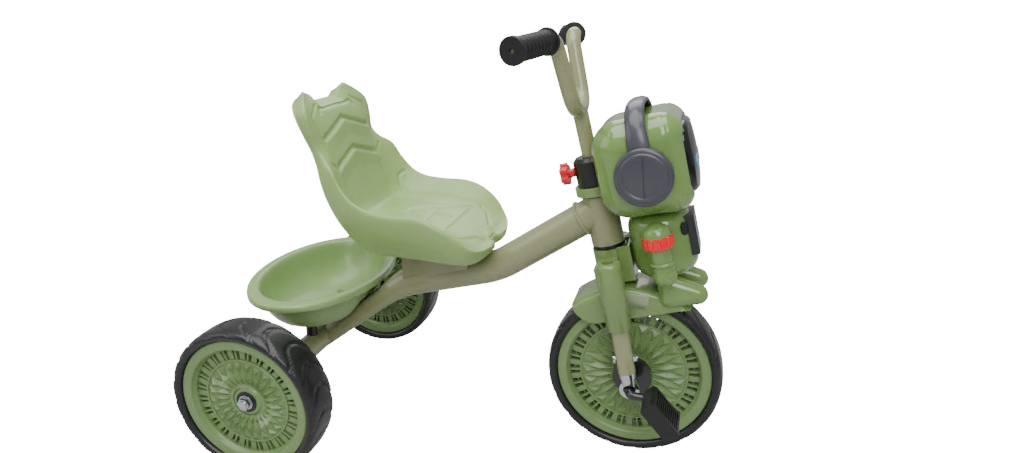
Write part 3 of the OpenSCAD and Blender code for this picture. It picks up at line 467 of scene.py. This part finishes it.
def tyre_shape(radius):
    """A tyre with rounded shoulders and swept tread cuts."""
    half = [(radius - 23.4, 12), (radius - 23.4, 20.2), (radius - 15.7, 20.6), (radius - 15.5, 24),
            (radius - 14.8, 26.2), (radius - 13, 28.2), (radius - 10.5, 29.5), (radius - 8, 29.8),
            (radius - 5.8, 29.2), (radius - 4, 27.8), (radius - 2.8, 26), (radius - 1.9, 23.6),
            (radius - 1.2, 20.6), (radius - 0.7, 17.6), (radius - 0.35, 14.4), (radius - 0.15, 11),
            (radius - 0.05, 7.5), (radius, 4)]
    bm = lathe(half + [(radius, 0)] + [(r, -z) for r, z in half[::-1]], 600)
    for vert in bm.verts:
        out = math.hypot(vert.co.x, vert.co.y)
        if out < radius - 7 or abs(vert.co.z) < 3:
            continue
        angle = math.atan2(vert.co.y, vert.co.x)
        across = abs(vert.co.z) / 30
        deep = 0
        for count, sweep, low, high, wide in ((20, 0.34, 0.12, 1.0, 0.11), (20, 0.2, 0.62, 1.0, 0.08)):
            turn = (angle + sweep * across ** 2.2 + (0.06 if wide < 0.1 else 0)) * count / (2 * math.pi)
            near = abs(turn - round(turn)) / wide
            if low < across < high and near < 1:
                deep = max(deep, 1.5 * min(1, 2.2 * (1 - near)))
        shrink = (out - deep) / out
        vert.co.x *= shrink
        vert.co.y *= shrink
    return bm


across_wheel = Matrix.Rotation(math.pi / 2, 4, "X")
for name, body, radius, centre, hub in (
        ("front", "front_wheel", 130, front_axle, 23),
        ("left_rear", "left_rear_wheel", 115, Vector((rear_axle.x, -rear_axle.y, rear_axle.z)), 15),
        ("right_rear", "right_rear_wheel", 115, rear_axle, 15)):
    stand = Matrix.Translation(centre / 1000) @ across_wheel @ MM
    shell(rim_shape(radius, hub), name + "_wheel_star", body, wheel_green, "wheel_green", name + "_rim",
          place=stand, crease=25)
    shell(tyre_shape(radius), name + "_tyre_tread", body, tyre_black, "tyre_black", name + "_tyre",
          place=stand, crease=50)
keep_nodes(black_satin, "left_rear_bushes", "right_rear_bushes")


# ---------- Seat ----------
# One hollow blow-moulded bucket in pale green: a pan with three sunk lines and a notch in its lip,
# a back with two chevrons and two horns, and a rolled rim that falls to a plain flank.
def through(points, at):
    """A smooth curve through tuples, read at a place along them."""
    low = max(0, min(len(points) - 2, int(at)))
    share = at - low
    take = [points[max(0, min(len(points) - 1, low + k))] for k in (-1, 0, 1, 2)]
    return [0.5 * (2 * b + (c - a) * share + (2 * a - 5 * b + 4 * c - d) * share ** 2
                   + (3 * b - a - 3 * c + d) * share ** 3) for a, b, c, d in zip(*take)]


seat_low, seat_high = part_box("seat")
seat_foot = Vector((seat_high.x * 1000 - 91, 0, seat_low.z * 1000))
# rim x, half width, z; middle x, z of the top; middle x, z and half width of the base
seat_sections = [
    (91, 42, 21, 89, 20, 90, 11, 34), (83, 74, 23, 78, 22, 80, 4, 60), (71, 95, 32, 66, 28, 66, 0, 74),
    (56, 106, 48, 48, 36, 48, 0, 80), (30, 112, 66, 25, 44, 25, 0, 82), (0, 113, 75, 0, 48, 0, 0, 80),
    (-40, 113, 75, -40, 50, -38, 0, 78), (-70, 111, 78, -75, 50, -72, 2, 80),
    (-90, 110, 86, -100, 52, -100, 16, 84), (-102, 110, 96, -113, 62, -122, 46, 92),
    (-115, 108, 112, -124, 86, -139, 78, 94), (-127, 104, 132, -134, 112, -150, 106, 92),
    (-145, 92, 146, -143, 140, -159, 134, 86), (-155, 87, 160, -150, 160, -167, 154, 84),
    (-160, 92, 183, -159, 186, -177, 180, 88), (-166, 92, 206, -171, 208, -188, 202, 86),
    (-176, 80, 221, -180, 221, -198, 215, 74), (-188, 58, 235, -187, 228, -204, 222, 54)]
# share of the rim's half width, share of the base's, rise to the rim, drop to the base
seat_half = [(0, 0, 0, 0), (0.25, 0, 0, 0), (0.5, 0, 0.02, 0), (0.7, 0, 0.2, 0), (0.85, 0, 0.6, 0),
             (0.94, 0, 0.92, 0), (0.98, 0, 1, 0), (1, 0, 1, 0.12), (0.78, 0.22, 1, 0.5),
             (0.4, 0.6, 1, 0.8), (0, 1, 1, 0.97), (0, 0.5, 1, 1), (0, 0, 1, 1)]
rim_turn, foot_turn = 7, 12


def seat_ring(along, closing):
    """One ring round the seat at a place along its sections, drawn together where it closes."""
    rx, rw, rz, mx, mz, bx, bz, bw = through(seat_sections, along)

    def at(turn):
        a, b, rise, drop = through(seat_half, turn)
        x, z = mx + (rx - mx) * rise, mz + (rz - mz) * rise
        return Vector((x + (bx - x) * drop, a * rw + b * bw, z + (bz - z) * drop))

    def ring(angle):
        side = 1 if angle <= math.pi else -1
        turn = (angle if side > 0 else 2 * math.pi - angle) / math.pi * foot_turn
        point = at(turn)
        under = foot_turn - rim_turn
        other = at(rim_turn + (rim_turn - turn) * under / rim_turn if turn < rim_turn
                   else rim_turn - (turn - rim_turn) * rim_turn / under)
        point = point.lerp((point + other) / 2, closing)
        point.y *= side
        return point
    return ring


def near_line(y, z, line):
    """Distance from a point to a run of straight lines."""
    best = 1e9
    for (y0, z0), (y1, z1) in zip(line, line[1:]):
        dy, dz = y1 - y0, z1 - z0
        share = max(0, min(1, ((y - y0) * dy + (z - z0) * dz) / (dy * dy + dz * dz)))
        best = min(best, math.hypot(y - y0 - share * dy, z - z0 - share * dz))
    return best


def smooth_step(value, low, high):
    share = max(0, min(1, (value - low) / (high - low)))
    return share * share * (3 - 2 * share)


back_lines = [  # in (side, height) above the seat's foot, with width and depth
    ([(0, 190), (64, 169)], 4.6, 3.6), ([(0, 145), (57, 127)], 4.6, 3.6),
    ([(52, 214), (77, 200), (71, 169), (64, 127), (59, 58)], 2.6, 2.0),
    ([(0, 211), (44, 209), (49, 203)], 3.4, 2.6), ([(61, 123), (78, 136)], 2.6, 2.0),
    ([(97, 86), (87, 81), (77, 56)], 2.4, 2.0)]
pan_lines = [  # in (forward, side)
    ([(-17, 0), (-17, 34)], 2.6, 1.6), ([(26, 0), (26, 60)], 2.6, 1.6),
    ([(-62, 0), (-20, 32), (24, 60)], 5.0, 1.4), ([(76, 24), (66, 30), (50, 66), (38, 74)], 3.0, 1.8)]
seat_green = moulded("seat green", "93b26b", 0.3, coat=0.12)
rings = []
lip, horns, horn_run, close_set = 0.25, 16.68, 0.32, 0.075  # places along the sections
stations = [0.0, 0.03, 0.07, 0.12, 0.18, lip]
stations += [lip + close_set * k for k in range(1, 220) if lip + close_set * k < horns]
stations += [horns + horn_run * math.sin(math.pi / 2 * k / 6) for k in range(7)]
for along in stations:
    nose = max(0, (lip - along) / lip, (along - horns) / horn_run)
    rings.append(seat_ring(along, 0.98 * (1 - math.sqrt(max(0, 1 - nose * nose)))))
bm = loft(rings, 220)
bm.normal_update()
outward = {vert: vert.normal.copy() for vert in bm.verts}
for vert, normal in outward.items():
    x, y, z = vert.co
    top = normal.z > 0.25 or (normal.x > 0.3 and z > 60)
    if not top:
        continue
    cut = 0
    if z > 58 and x < -88:
        for line, width, deep in back_lines:
            cut = max(cut, deep * (1 - smooth_step(near_line(abs(y), z, line), width * 0.4, width)))
        # the panels swell a little under each chevron
        for height, slope in ((190, 0.33), (145, 0.32)):
            edge = height - abs(y) * slope - 3
            if 0 < edge - z < 22 and abs(y) < 66:
                cut -= 2.2 * (1 - (edge - z) / 22) * smooth_step(edge - z, 0, 3)
    if x > -60 and z < 62:
        for line, width, deep in pan_lines:
            cut = max(cut, deep * (1 - smooth_step(near_line(x, abs(y), line), width * 0.4, width)))
        slot = math.hypot((x - 3) / 13, y / 4)
        cut = max(cut, 2.4 * (1 - smooth_step(slot, 0.7, 1)))
        cut -= 2.2 * (1 - smooth_step(math.hypot((x - 76) / 9, y / 13), 0.5, 1))
    vert.co -= normal * cut
for vert in bm.verts:
    # horns stand above the top rail, and the lip is notched in the middle
    if vert.co.z > 196:
        vert.co.z -= 9 * (1 - smooth_step(abs(vert.co.y), 30, 47)) * smooth_step(vert.co.z, 200, 226)
    if vert.co.x > 76:
        vert.co.x -= 8 * (1 - smooth_step(abs(vert.co.y), 9, 20)) * smooth_step(vert.co.x, 76, 88)
shell(bm, "seat_bucket_moulding", "frame", seat_green, "seat_plastic", "seat",
      place=Matrix.Translation(seat_foot / 1000) @ MM, crease=60)

# ---------- Basket ----------
# A smooth oval bowl of pale green plastic with a rolled rim that turns down in a lip. It sits on
# two black posts and is let in over the flattened tube, with a screw down into each post.
basket_green = moulded("basket green", "8aa96a", 0.3, coat=0.2)
basket_low, basket_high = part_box("basket")
basket_mid = Vector(((basket_low.x + basket_high.x) / 2, 0, basket_high.z)) * 1000
bowl_r, bowl_longer = 104, 53
# from the floor's middle, up the inside, over the rolled lip and down the outside
bowl_wall = [(0, -76.6), (19.6, -76), (42.6, -72.2), (59.8, -63.6), (73, -49.2), (80.8, -33),
             (84.8, -15.6), (87, -5.6), (89.6, -1), (94, 0), (99, 0), (102.4, -0.9), (103.8, -3),
             (bowl_r, -6), (bowl_r, -11.6), (101.8, -11.8), (101.6, -7), (100.4, -3.8), (97.6, -2.9),
             (93.4, -3.6), (91, -7), (88.6, -16.6), (84, -35), (75.8, -51.6), (62, -66.6),
             (44, -75.4), (20, -79.4), (0, -80)]
bm = lathe(bowl_wall, 160, closed=False)
bmesh.ops.remove_doubles(bm, verts=bm.verts, dist=0.004)
bmesh.ops.recalc_face_normals(bm, faces=bm.faces)
for vert in bm.verts:
    vert.co.y *= 1 + bowl_longer / bowl_r
# the floor is raised in a saddle that clears the flattened tube
stay_way = (corners[2] - corners[3]).normalized()
stay_half, clear, bowl_wall_t, below_lip = 16, 0.8, 3, -6
for vert in bm.verts:
    place = vert.co + basket_mid
    rise = corners[3].z + (place.x - corners[3].x) * stay_way.z / stay_way.x + stay_half / stay_way.x
    over = rise + clear + (bowl_wall_t if vert.normal.z > 0 else 0) - place.z
    side = 1 - smooth_step(abs(place.y), 29, 40)
    under_rim = math.hypot(vert.co.x, vert.co.y) < 98
    if 0 < over < 60 and vert.co.z < below_lip and side > 0 and under_rim:
        vert.co.z += min(over, below_lip - vert.co.z) * side
bowl = shell(bm, "basket_bowl", "frame", basket_green, "basket_plastic", "basket",
             place=Matrix.Translation(basket_mid / 1000) @ MM, crease=70)
smoother = bowl.modifiers.new("round", "SUBSURF")
smoother.levels = smoother.render_levels = 1
keep_nodes(black_satin, "basket_posts")

# ---------- Fork ----------
# Two green painted sleeves welded beside the crown, each over a beige leg that ends in a bright
# knuckle with an eye for the axle and a cross bolt.
fork_enamel = painted("fork enamel", "748f50", 0.24)
leg_enamel = painted("leg enamel", "92956b", 0.24)
keep_nodes(fork_enamel, "fork_crown", "mount_upright")
knuckle_zinc = plated("knuckle zinc", "d2d5da", 0.12)
keep_nodes(knuckle_zinc, "dropouts", "leg_bolts", edge=0.0008)
keep_nodes(black_satin, "dropout_bushes")
keep_nodes(leg_enamel, "left_fork_leg", "right_fork_leg")
foot = Vector((-trail * math.cos(rake), 0, trail * math.sin(rake)))
leg_spread, leg_lean = 62, math.radians(2.5)
sleeve_wall = [(12.6, 94), (17.2, 94), (18, 94.8), (18, 186), (17.6, 189.6), (16.4, 192),
               (14, 193.6), (10, 194.4), (8.6, 194.2), (8, 192.5), (8, 186), (12.6, 184)]
for side, hand in ((1, "left"), (-1, "right")):
    leg = steering @ Matrix.Translation(foot + Vector((0, side * leg_spread, 0))) @ \
        Matrix.Rotation(leg_lean, 4, "Y")
    shell(lathe(sleeve_wall, 64), hand + "_sleeve_tube", "fork", fork_enamel, "fork_green",
          hand + "_fork_sleeve", place=leg, crease=50)

# ---------- Front fender ----------
# A thin green moulding bent over the front tyre, with a round tail and an edge that rises to the
# front. A lighter thin plate is stuck on each flank.
fender_green = moulded("fender green", "749052", 0.2, coat=0.5)
plate_green = moulded("fender plate green", "93a57c", 0.22, coat=0.5)
outer_r, fender_half, shoulder_r = 143, 40, 11
profile = []
for step in range(9):
    turn = math.pi / 2 * step / 8
    profile.append((outer_r - shoulder_r + shoulder_r * math.cos(turn),
                    fender_half - shoulder_r + shoulder_r * math.sin(turn)))
profile += [(outer_r - 17 - 6 * k, fender_half) for k in range(8)]
bm = lathe([(r, -y) for r, y in profile[::-1]] + profile, 240, closed=False)
bmesh.ops.transform(bm, matrix=across_wheel, verts=bm.verts)


def above_line(x, z):
    """How far a point stands inside the fender's side view."""
    tail_x, tail_z, tail_r, front_x = -58, 123, 40, 112
    if x < tail_x:
        return tail_r - math.hypot(x - tail_x, z - tail_z)
    low = (tail_z - tail_r) + (x - tail_x) * (52 / 170)
    return min(z - low, front_x - x)


half_a_face = 2.4
bmesh.ops.delete(bm, geom=[face for face in bm.faces if above_line(
    face.calc_center_median().x, face.calc_center_median().z) < -half_a_face], context="FACES")
# the cut edge is drawn on to the line
for vert in bm.verts:
    if vert.is_boundary:
        for _ in range(6):
            gap = above_line(vert.co.x, vert.co.z)
            slope = Vector((above_line(vert.co.x + 0.1, vert.co.z) - gap, 0,
                            above_line(vert.co.x, vert.co.z + 0.1) - gap)) / 0.1
            if slope.length > 0.1 and abs(gap) < 9:
                vert.co -= slope * gap / slope.length_squared
bmesh.ops.recalc_face_normals(bm, faces=bm.faces)
if sum(face.normal.dot(face.calc_center_median()) for face in bm.faces) < 0:
    bmesh.ops.reverse_faces(bm, faces=bm.faces)
fender = shell(bm, "fender_moulding", "fork", fender_green, "fork_green", "front_fender",
               place=Matrix.Translation(front_axle / 1000) @ MM, crease=50)
wall = fender.modifiers.new("wall", "SOLIDIFY")
wall.thickness, wall.offset = 0.0024, -1
edge = fender.modifiers.new("edge", "BEVEL")
edge.width, edge.segments, edge.limit_method = 0.0008, 2, "ANGLE"
plate_start, plate_sweep, plate_proud = math.radians(83), math.radians(19), 0.5
for side, hand in ((1, "left"), (-1, "right")):
    bm = bmesh.new()
    turn, bend_r = plate_start, shoulder_r + plate_proud
    strip = [(outer_r - shoulder_r + bend_r * math.cos(math.radians(a)),
              fender_half - shoulder_r + bend_r * math.sin(math.radians(a))) for a in range(63, 91, 9)]
    strip += [(outer_r - 14, fender_half + plate_proud), (outer_r - 27, fender_half + plate_proud)]
    made = [bm.verts.new((radius * math.cos(turn), side * height, radius * math.sin(turn)))
            for radius, height in strip]
    edges = [bm.edges.new(pair) for pair in zip(made, made[1:])]
    bmesh.ops.spin(bm, geom=made + edges, cent=(0, 0, 0), axis=(0, -1, 0), angle=plate_sweep, steps=16)
    if sum(face.normal.y * side for face in bm.faces) < 0:
        bmesh.ops.reverse_faces(bm, faces=bm.faces)
    bm.transform(Matrix.Translation(front_axle / 1000) @ MM)
    mesh = bpy.data.meshes.new(hand + "_fender_plate")
    bm.to_mesh(mesh)
    bm.free()
    mesh.shade_smooth()
    mesh.materials.append(plate_green.material)
    plate = bpy.data.objects.new(hand + "_fender_plate", mesh)
    bpy.context.scene.collection.objects.link(plate)
    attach(plate, "fork")
    wall = plate.modifiers.new("wall", "SOLIDIFY")
    wall.thickness, wall.offset = 0.0008, 0

# ---------- Handlebar ----------
# One beige tube bent to a narrow U with swept ends, welded to its stem. It slides in the steerer
# under a black collar, which a red star knob clamps. Ribbed black rubber grips.
bar_enamel = painted("bar enamel", "92956b", 0.22)
grip_rubber = moulded("grip rubber", "121214", 0.42, coat=0.1, grain=0.00005, grain_scale=700)
knob_red = moulded("knob red", "e00c18", 0.22, coat=0.4)
keep_nodes(bar_enamel, "handlebar", edge=0.0003)
for hand in ("left", "right"):
    keep_nodes(grip_rubber, hand + "_grip", edge=0.0009)
keep_nodes(black_satin, "clamp_collar", edge=0.0018)
keep_nodes(knob_red, "clamp_knob", edge=0.0012)

# ---------- Cranks and pedals ----------
# The front axle is a black steel rod bent into two cranks, with a black disc beside each hub and
# a ribbed black pedal block on each end.
keep_nodes(black_steel, "crank_axle", edge=0.0008)
pedal_black = moulded("pedal black", "121214", 0.4, coat=0.1)
keep_nodes(pedal_black, "left_pedal", "right_pedal", edge=0.0008)

# ---------- Robot head ----------
# Two glossy green half shells that meet on a seam under the headband, with a ridge round the face.
# The rear one is let in for the handlebar's stem.
robot_green = moulded("robot green", "6f914a", 0.14, coat=0.8, grain=0.00001)
head_up_axis = 312.5
head_place = steering @ Matrix.Translation((0, 0, head_up_axis))
head_mid = Vector((73, 0, 0))
half_long, half_wide, half_high = 63, 72, 67.5
bm = bmesh.new()
bmesh.ops.create_cube(bm, size=2)
bmesh.ops.subdivide_edges(bm, edges=bm.edges, cuts=55, use_grid_fill=True)
for vert in bm.verts:
    # well rounded behind, and more squarely in front
    goal = Vector((vert.co.x * half_long, vert.co.y * half_wide, vert.co.z * half_high))
    corner = 40 - 10 * smooth_step(goal.x, 8, 52)
    core = Vector([max(corner - size, min(size - corner, at))
                   for size, at in zip((half_long, half_wide, half_high), goal)])
    rest = goal - core
    vert.co = core + rest.normalized() * corner + head_mid
for vert in bm.verts:
    x, y, z = vert.co
    # seam under the headband, the ridge in front of it and the groove round the face
    inward = head_mid - vert.co
    inward.normalize()
    deep = 0
    for spot, width, depth in ((79, 0.9, 0.8), (113, 1.2, 0.9)):
        deep = max(deep, depth * (1 - smooth_step(abs(x - spot), width * 0.4, width * 1.6)))
    deep -= 0.5 * (1 - smooth_step(abs(x - 116.5), 1, 3))
    vert.co += inward * deep
# the channel behind, which clears the handlebar's stem
channel_r, kept_depth = 33.6, 0.02
for vert in bm.verts:
    if math.hypot(vert.co.x, vert.co.y) < channel_r and vert.co.x < 40:
        wall_x = math.sqrt(channel_r ** 2 - vert.co.y ** 2)
        vert.co.x = wall_x + (vert.co.x - wall_x) * kept_depth
# the face opening, sunk behind the visor
for vert in bm.verts:
    x, y, z = vert.co
    if x > 100:
        ex, ez = max(0, abs(y) - 32), max(0, abs(z) - 25)
        inside = 26 - math.hypot(ex, ez)
        if inside > 0:
            vert.co.x -= 5 * smooth_step(inside, 1, 4)
shell(bm, "robot_head_shell", "fork", robot_green, "robot_green", "robot_head_rear", "robot_head_front",
      place=head_place, crease=70)

# ---------- Visor ----------
# A glossy black plastic dome with round corners, pressed into the face. Its rim turns back.
visor_black = moulded("visor black", "07090b", 0.05, coat=0.25, grain=0.000004, vary=0.02, wear=0.02)
visor_half_wide, visor_half_high, rim_back, wall_back = 54.5, 47.5, 4, 9


def dome(y, z):
    """How far forward the visor stands at a place across it."""
    return 145 - (y * y + z * z) / 560


bm = bmesh.new()
bmesh.ops.create_grid(bm, x_segments=64, y_segments=56, size=1)
for vert in bm.verts:
    u, v = vert.co.x, vert.co.y
    long = max(abs(u), abs(v)) or 1
    norm = (abs(u) ** 4 + abs(v) ** 4) ** 0.25 or 1
    y, z = u * long / norm * visor_half_wide, v * long / norm * visor_half_high
    edge = smooth_step(long, 0.9, 1.0)
    vert.co = Vector((dome(y, z) - rim_back * edge * edge, y, z))
bmesh.ops.recalc_face_normals(bm, faces=bm.faces)
rim = [edge for edge in bm.edges if edge.is_boundary]
back_rim = bmesh.ops.extrude_edge_only(bm, edges=rim)["geom"]
bmesh.ops.translate(bm, verts=[item for item in back_rim if isinstance(item, bmesh.types.BMVert)],
                    vec=(-wall_back, 0, 0))
bmesh.ops.holes_fill(bm, edges=[edge for edge in bm.edges if edge.is_boundary])
shell(bm, "robot_visor_dome", "fork", visor_black, "visor_black", "robot_visor", place=head_place,
      crease=60)

# ---------- Eyes ----------
# Two plain cyan ovals with soft edges, which lie on the visor.
eye_cyan = moulded("eye cyan", "14b4dc", 0.12, coat=0.9, grain=0.000004, vary=0.03)
eye_spread, eye_drop, eye_half_wide, eye_half_high = 22, -7, 14.6, 9
for side, hand in ((1, "left"), (-1, "right")):
    bm = bmesh.new()
    bmesh.ops.create_circle(bm, cap_ends=True, radius=1, segments=48)
    bmesh.ops.inset_region(bm, faces=bm.faces[:], thickness=0.25)
    bmesh.ops.poke(bm, faces=[face for face in bm.faces if len(face.verts) > 4])
    lift = bmesh.ops.extrude_face_region(bm, geom=bm.faces[:])["geom"]
    raised = [item for item in lift if isinstance(item, bmesh.types.BMVert)]
    for vert in bm.verts:
        y, z = side * eye_spread + vert.co.x * eye_half_wide, eye_drop + vert.co.y * eye_half_high
        vert.co = Vector((dome(y, z) + (0.7 if vert in raised else -0.6), y, z))
    shell(bm, hand + "_eye", "fork", eye_cyan, "eye_cyan", *(("robot_eyes",) if side > 0 else ()),
          place=head_place, crease=60)

# ---------- Headband ----------
# A grey plastic band arched over the head, with a ridge along its middle and a darker lining. Its
# ends are tucked under the ear cups.
phone_grey = moulded("headphone grey", "42434b", 0.3, coat=0.3)
phone_dark = moulded("headphone lining", "1e1f24", 0.45)
band_x, ear_z, band_half_wide, band_high, band_foot = 78, -5, 84, 91.5, 28
band = []
for step in range(73):
    turn = math.pi * (step / 72)
    y, z = band_half_wide * math.cos(turn), band_high * math.sin(turn)
    power = (abs(math.cos(turn)) ** 3 + abs(math.sin(turn)) ** 3) ** (1 / 3)
    band.append(Vector((band_x, y / power, ear_z + z / power)))
band = [point for point in band if point.z >= band_foot]
band = [Vector((band_x, y, z)) for y, z in ((83.6, 12), (83.8, 20))] + band + \
    [Vector((band_x, y, z)) for y, z in ((-83.8, 20), (-83.6, 12))]


def band_ring(point, heading, wide):
    """The band's section: a flat strip with round edges and a ridge on its outer face."""
    out = Vector((0, heading.z, -heading.y))
    if out.dot(point - Vector((band_x, 0, 0))) < 0:
        out.negate()
    half_thick, sunk = 4.5, 4.8

    def ring(angle):
        x, n = math.cos(angle), math.sin(angle)
        x = math.copysign(abs(x) ** 0.45, x) * wide / 2
        n = math.copysign(abs(n) ** 0.6, n) * half_thick
        if n > 0:
            ridge_cut = 0.7 * (1 - smooth_step(abs(x), 0.2, 0.9))
            n += 0.8 - 2.6 * smooth_step(abs(x), 0.6, wide / 2) - ridge_cut
        return point + Vector((x, 0, 0)) + out * (n - sunk)
    return ring


rings = []
for index, point in enumerate(band):
    heading = (band[min(index + 1, len(band) - 1)] - band[max(index - 1, 0)]).normalized()
    grow = 26 + 3.0 * (1 - smooth_step(point.z, 30, 60))
    rings.append(band_ring(point, heading, grow))
bm = loft(rings, 56)
bmesh.ops.recalc_face_normals(bm, faces=bm.faces)
for face in bm.faces:
    # the lining is the run of faces that look in towards the head
    spot = face.calc_center_median()
    face.material_index = int(face.normal.dot(Vector((0, spot.y, spot.z - ear_z))) < -40 and
                              abs(spot.x - band_x) < 12)
shell(bm, "headphone_band", "fork", [phone_grey, phone_dark], "headphone_grey", "headband",
      place=head_place, crease=45)

# ---------- Ear cups ----------
# A round stepped cup of the same grey plastic on each ear, moulded in halves that meet on a fine
# dark line across its cap.
cup_wall = [(0, 0.2), (29, 0.2), (29.5, 1), (29.5, 4), (36, 4), (37.8, 4.6), (38.5, 6.2), (38.5, 10.4),
            (38, 12.4), (36.4, 13.9), (34, 14.5), (32.2, 14.8), (31, 16), (29.4, 16.5), (27.6, 16.4),
            (26.2, 15.4), (25.2, 15.1), (12, 15.6), (0, 15.8)]
for side, hand in ((1, "left"), (-1, "right")):
    bm = lathe(cup_wall, 120, closed=False)
    bmesh.ops.remove_doubles(bm, verts=bm.verts, dist=0.004)
    bmesh.ops.subdivide_edges(bm, edges=[edge for edge in bm.edges if abs(
        math.hypot(*edge.verts[0].co.xy) - math.hypot(*edge.verts[1].co.xy)) > 8], cuts=6)
    stand = head_place @ Matrix.Translation((band_x, side * half_wide, ear_z)) @ \
        Matrix.Rotation(-side * math.pi / 2, 4, "X")
    shell(bm, hand + "_ear_cushion", "fork", phone_grey, "headphone_grey", hand + "_ear_cup", place=stand,
          crease=35)
    seam = bmesh.new()
    bar(seam, (-0.35, -26, 14.4), (0.35, 26, 15.95), 8 * side)
    shell(seam, hand + "_cup_seam", "fork", phone_dark, "headphone_grey", place=stand)

# ---------- Robot body ----------
# A barrel of glossy green plastic in two halves, with a fine seam between them. A dark panel is
# let in on its chest, and a small dark push button sits in a dish at its side.
panel_dark = moulded("panel dark", "16191e", 0.3, coat=0.3)
keep_nodes(panel_dark, "chest_panel", "battery_box", "speaker", "side_button", edge=0.0008)
body_place = steering @ Matrix.Translation((77, 0, 148))
body_r, body_round, body_high = 45, 22, 96
flat_r, straight = body_r - body_round, body_high - 2 * body_round
bends = [math.pi / 2 * k / 8 for k in range(9)]
body_wall = [(0, 0)] + \
    [(flat_r + body_round * math.sin(a), body_round - body_round * math.cos(a)) for a in bends] + \
    [(body_r, body_round + straight * k / 6) for k in range(1, 6)] + \
    [(flat_r + body_round * math.cos(a), body_round + straight + body_round * math.sin(a))
     for a in bends] + [(0, body_high)]
bm = lathe(body_wall, 120, closed=False)
button_turn, button_high = -40, 70
for vert in bm.verts:
    # a fine seam runs round between the two halves, and a dish is sunk round the button
    seam_cut = 0.7 * (1 - smooth_step(abs(vert.co.x - 1), 0.3, 1.6))
    around = math.degrees(math.atan2(vert.co.y, vert.co.x))
    dish = math.hypot((around - button_turn) * 0.78 / 8.4, (vert.co.z - button_high) / 12)
    sink = 1.2 * (1 - smooth_step(dish, 0.85, 1.05)) if abs(around - button_turn) < 30 else 0
    reach = math.hypot(vert.co.x, vert.co.y)
    if reach > 20:
        vert.co.xy = vert.co.xy * ((reach - max(seam_cut, sink)) / reach)
shell(bm, "robot_body_shell", "fork", robot_green, "robot_green", "robot_body", place=body_place,
      crease=60)

# ---------- Arms and shoulder rings ----------
# Each arm is a stub of the same green plastic, with a round shoulder, a cuff and a round fist. A
# red plastic ring with twelve notches is pushed on to it below the shoulder.
ring_red = moulded("ring red", "f00f1a", 0.2, coat=0.5)
arm_spread, shoulder_wide, shoulder_high, fist_r = 58, 19.4, 18.4, 16.5
arm_wall = [(0, 91)] + [(shoulder_wide * math.sin(a), 72.6 + shoulder_high * math.cos(a))
                        for a in bends[1:]] + [
    (15, 62), (15, 50), (15, 44), (14.6, 38), (14.2, 36.4), (16, 35.6), (16.5, 34), (16.5, 32.4),
    (15.6, 31.2), (14.6, 30.6), (15.6, 27)] + [
    (fist_r * math.cos(math.radians(a)), 16 + fist_r * math.sin(math.radians(a)))
    for a in range(30, -91, -15)]
ring_wall = [(15.1, 57), (19.6, 57), (20.8, 58.2), (21, 60), (21, 71), (20.6, 73), (19, 74), (15.1, 74)]
notches = 12
for side, hand in ((1, "left"), (-1, "right")):
    stand = body_place @ Matrix.Translation((0, side * arm_spread, 0))
    shell(lathe(arm_wall, 72, closed=False), hand + "_arm_shell", "fork", robot_green, "robot_green",
          hand + "_arm", place=stand, crease=50)
    bm = lathe(ring_wall, 96)
    for vert in bm.verts:
        turn = (math.degrees(math.atan2(vert.co.y, vert.co.x)) / (360 / notches)) % 1
        reach = math.hypot(vert.co.x, vert.co.y)
        if reach > 18:
            vert.co.xy = vert.co.xy * (1 - 0.06 * (1 - smooth_step(abs(turn - 0.5), 0.05, 0.11)))
    shell(bm, hand + "_shoulder_ring", "fork", ring_red, "red_plastic",
          *(("shoulder_rings",) if side > 0 else ()), place=stand, crease=45)

# ---------- Robot feet and ring bracket ----------
# Two green shoes on which the body stands, and the ring that holds the robot to the collar.
keep_nodes(robot_green, "robot_feet", edge=0.0015)
keep_nodes(fender_green, "robot_ring", edge=0.001)
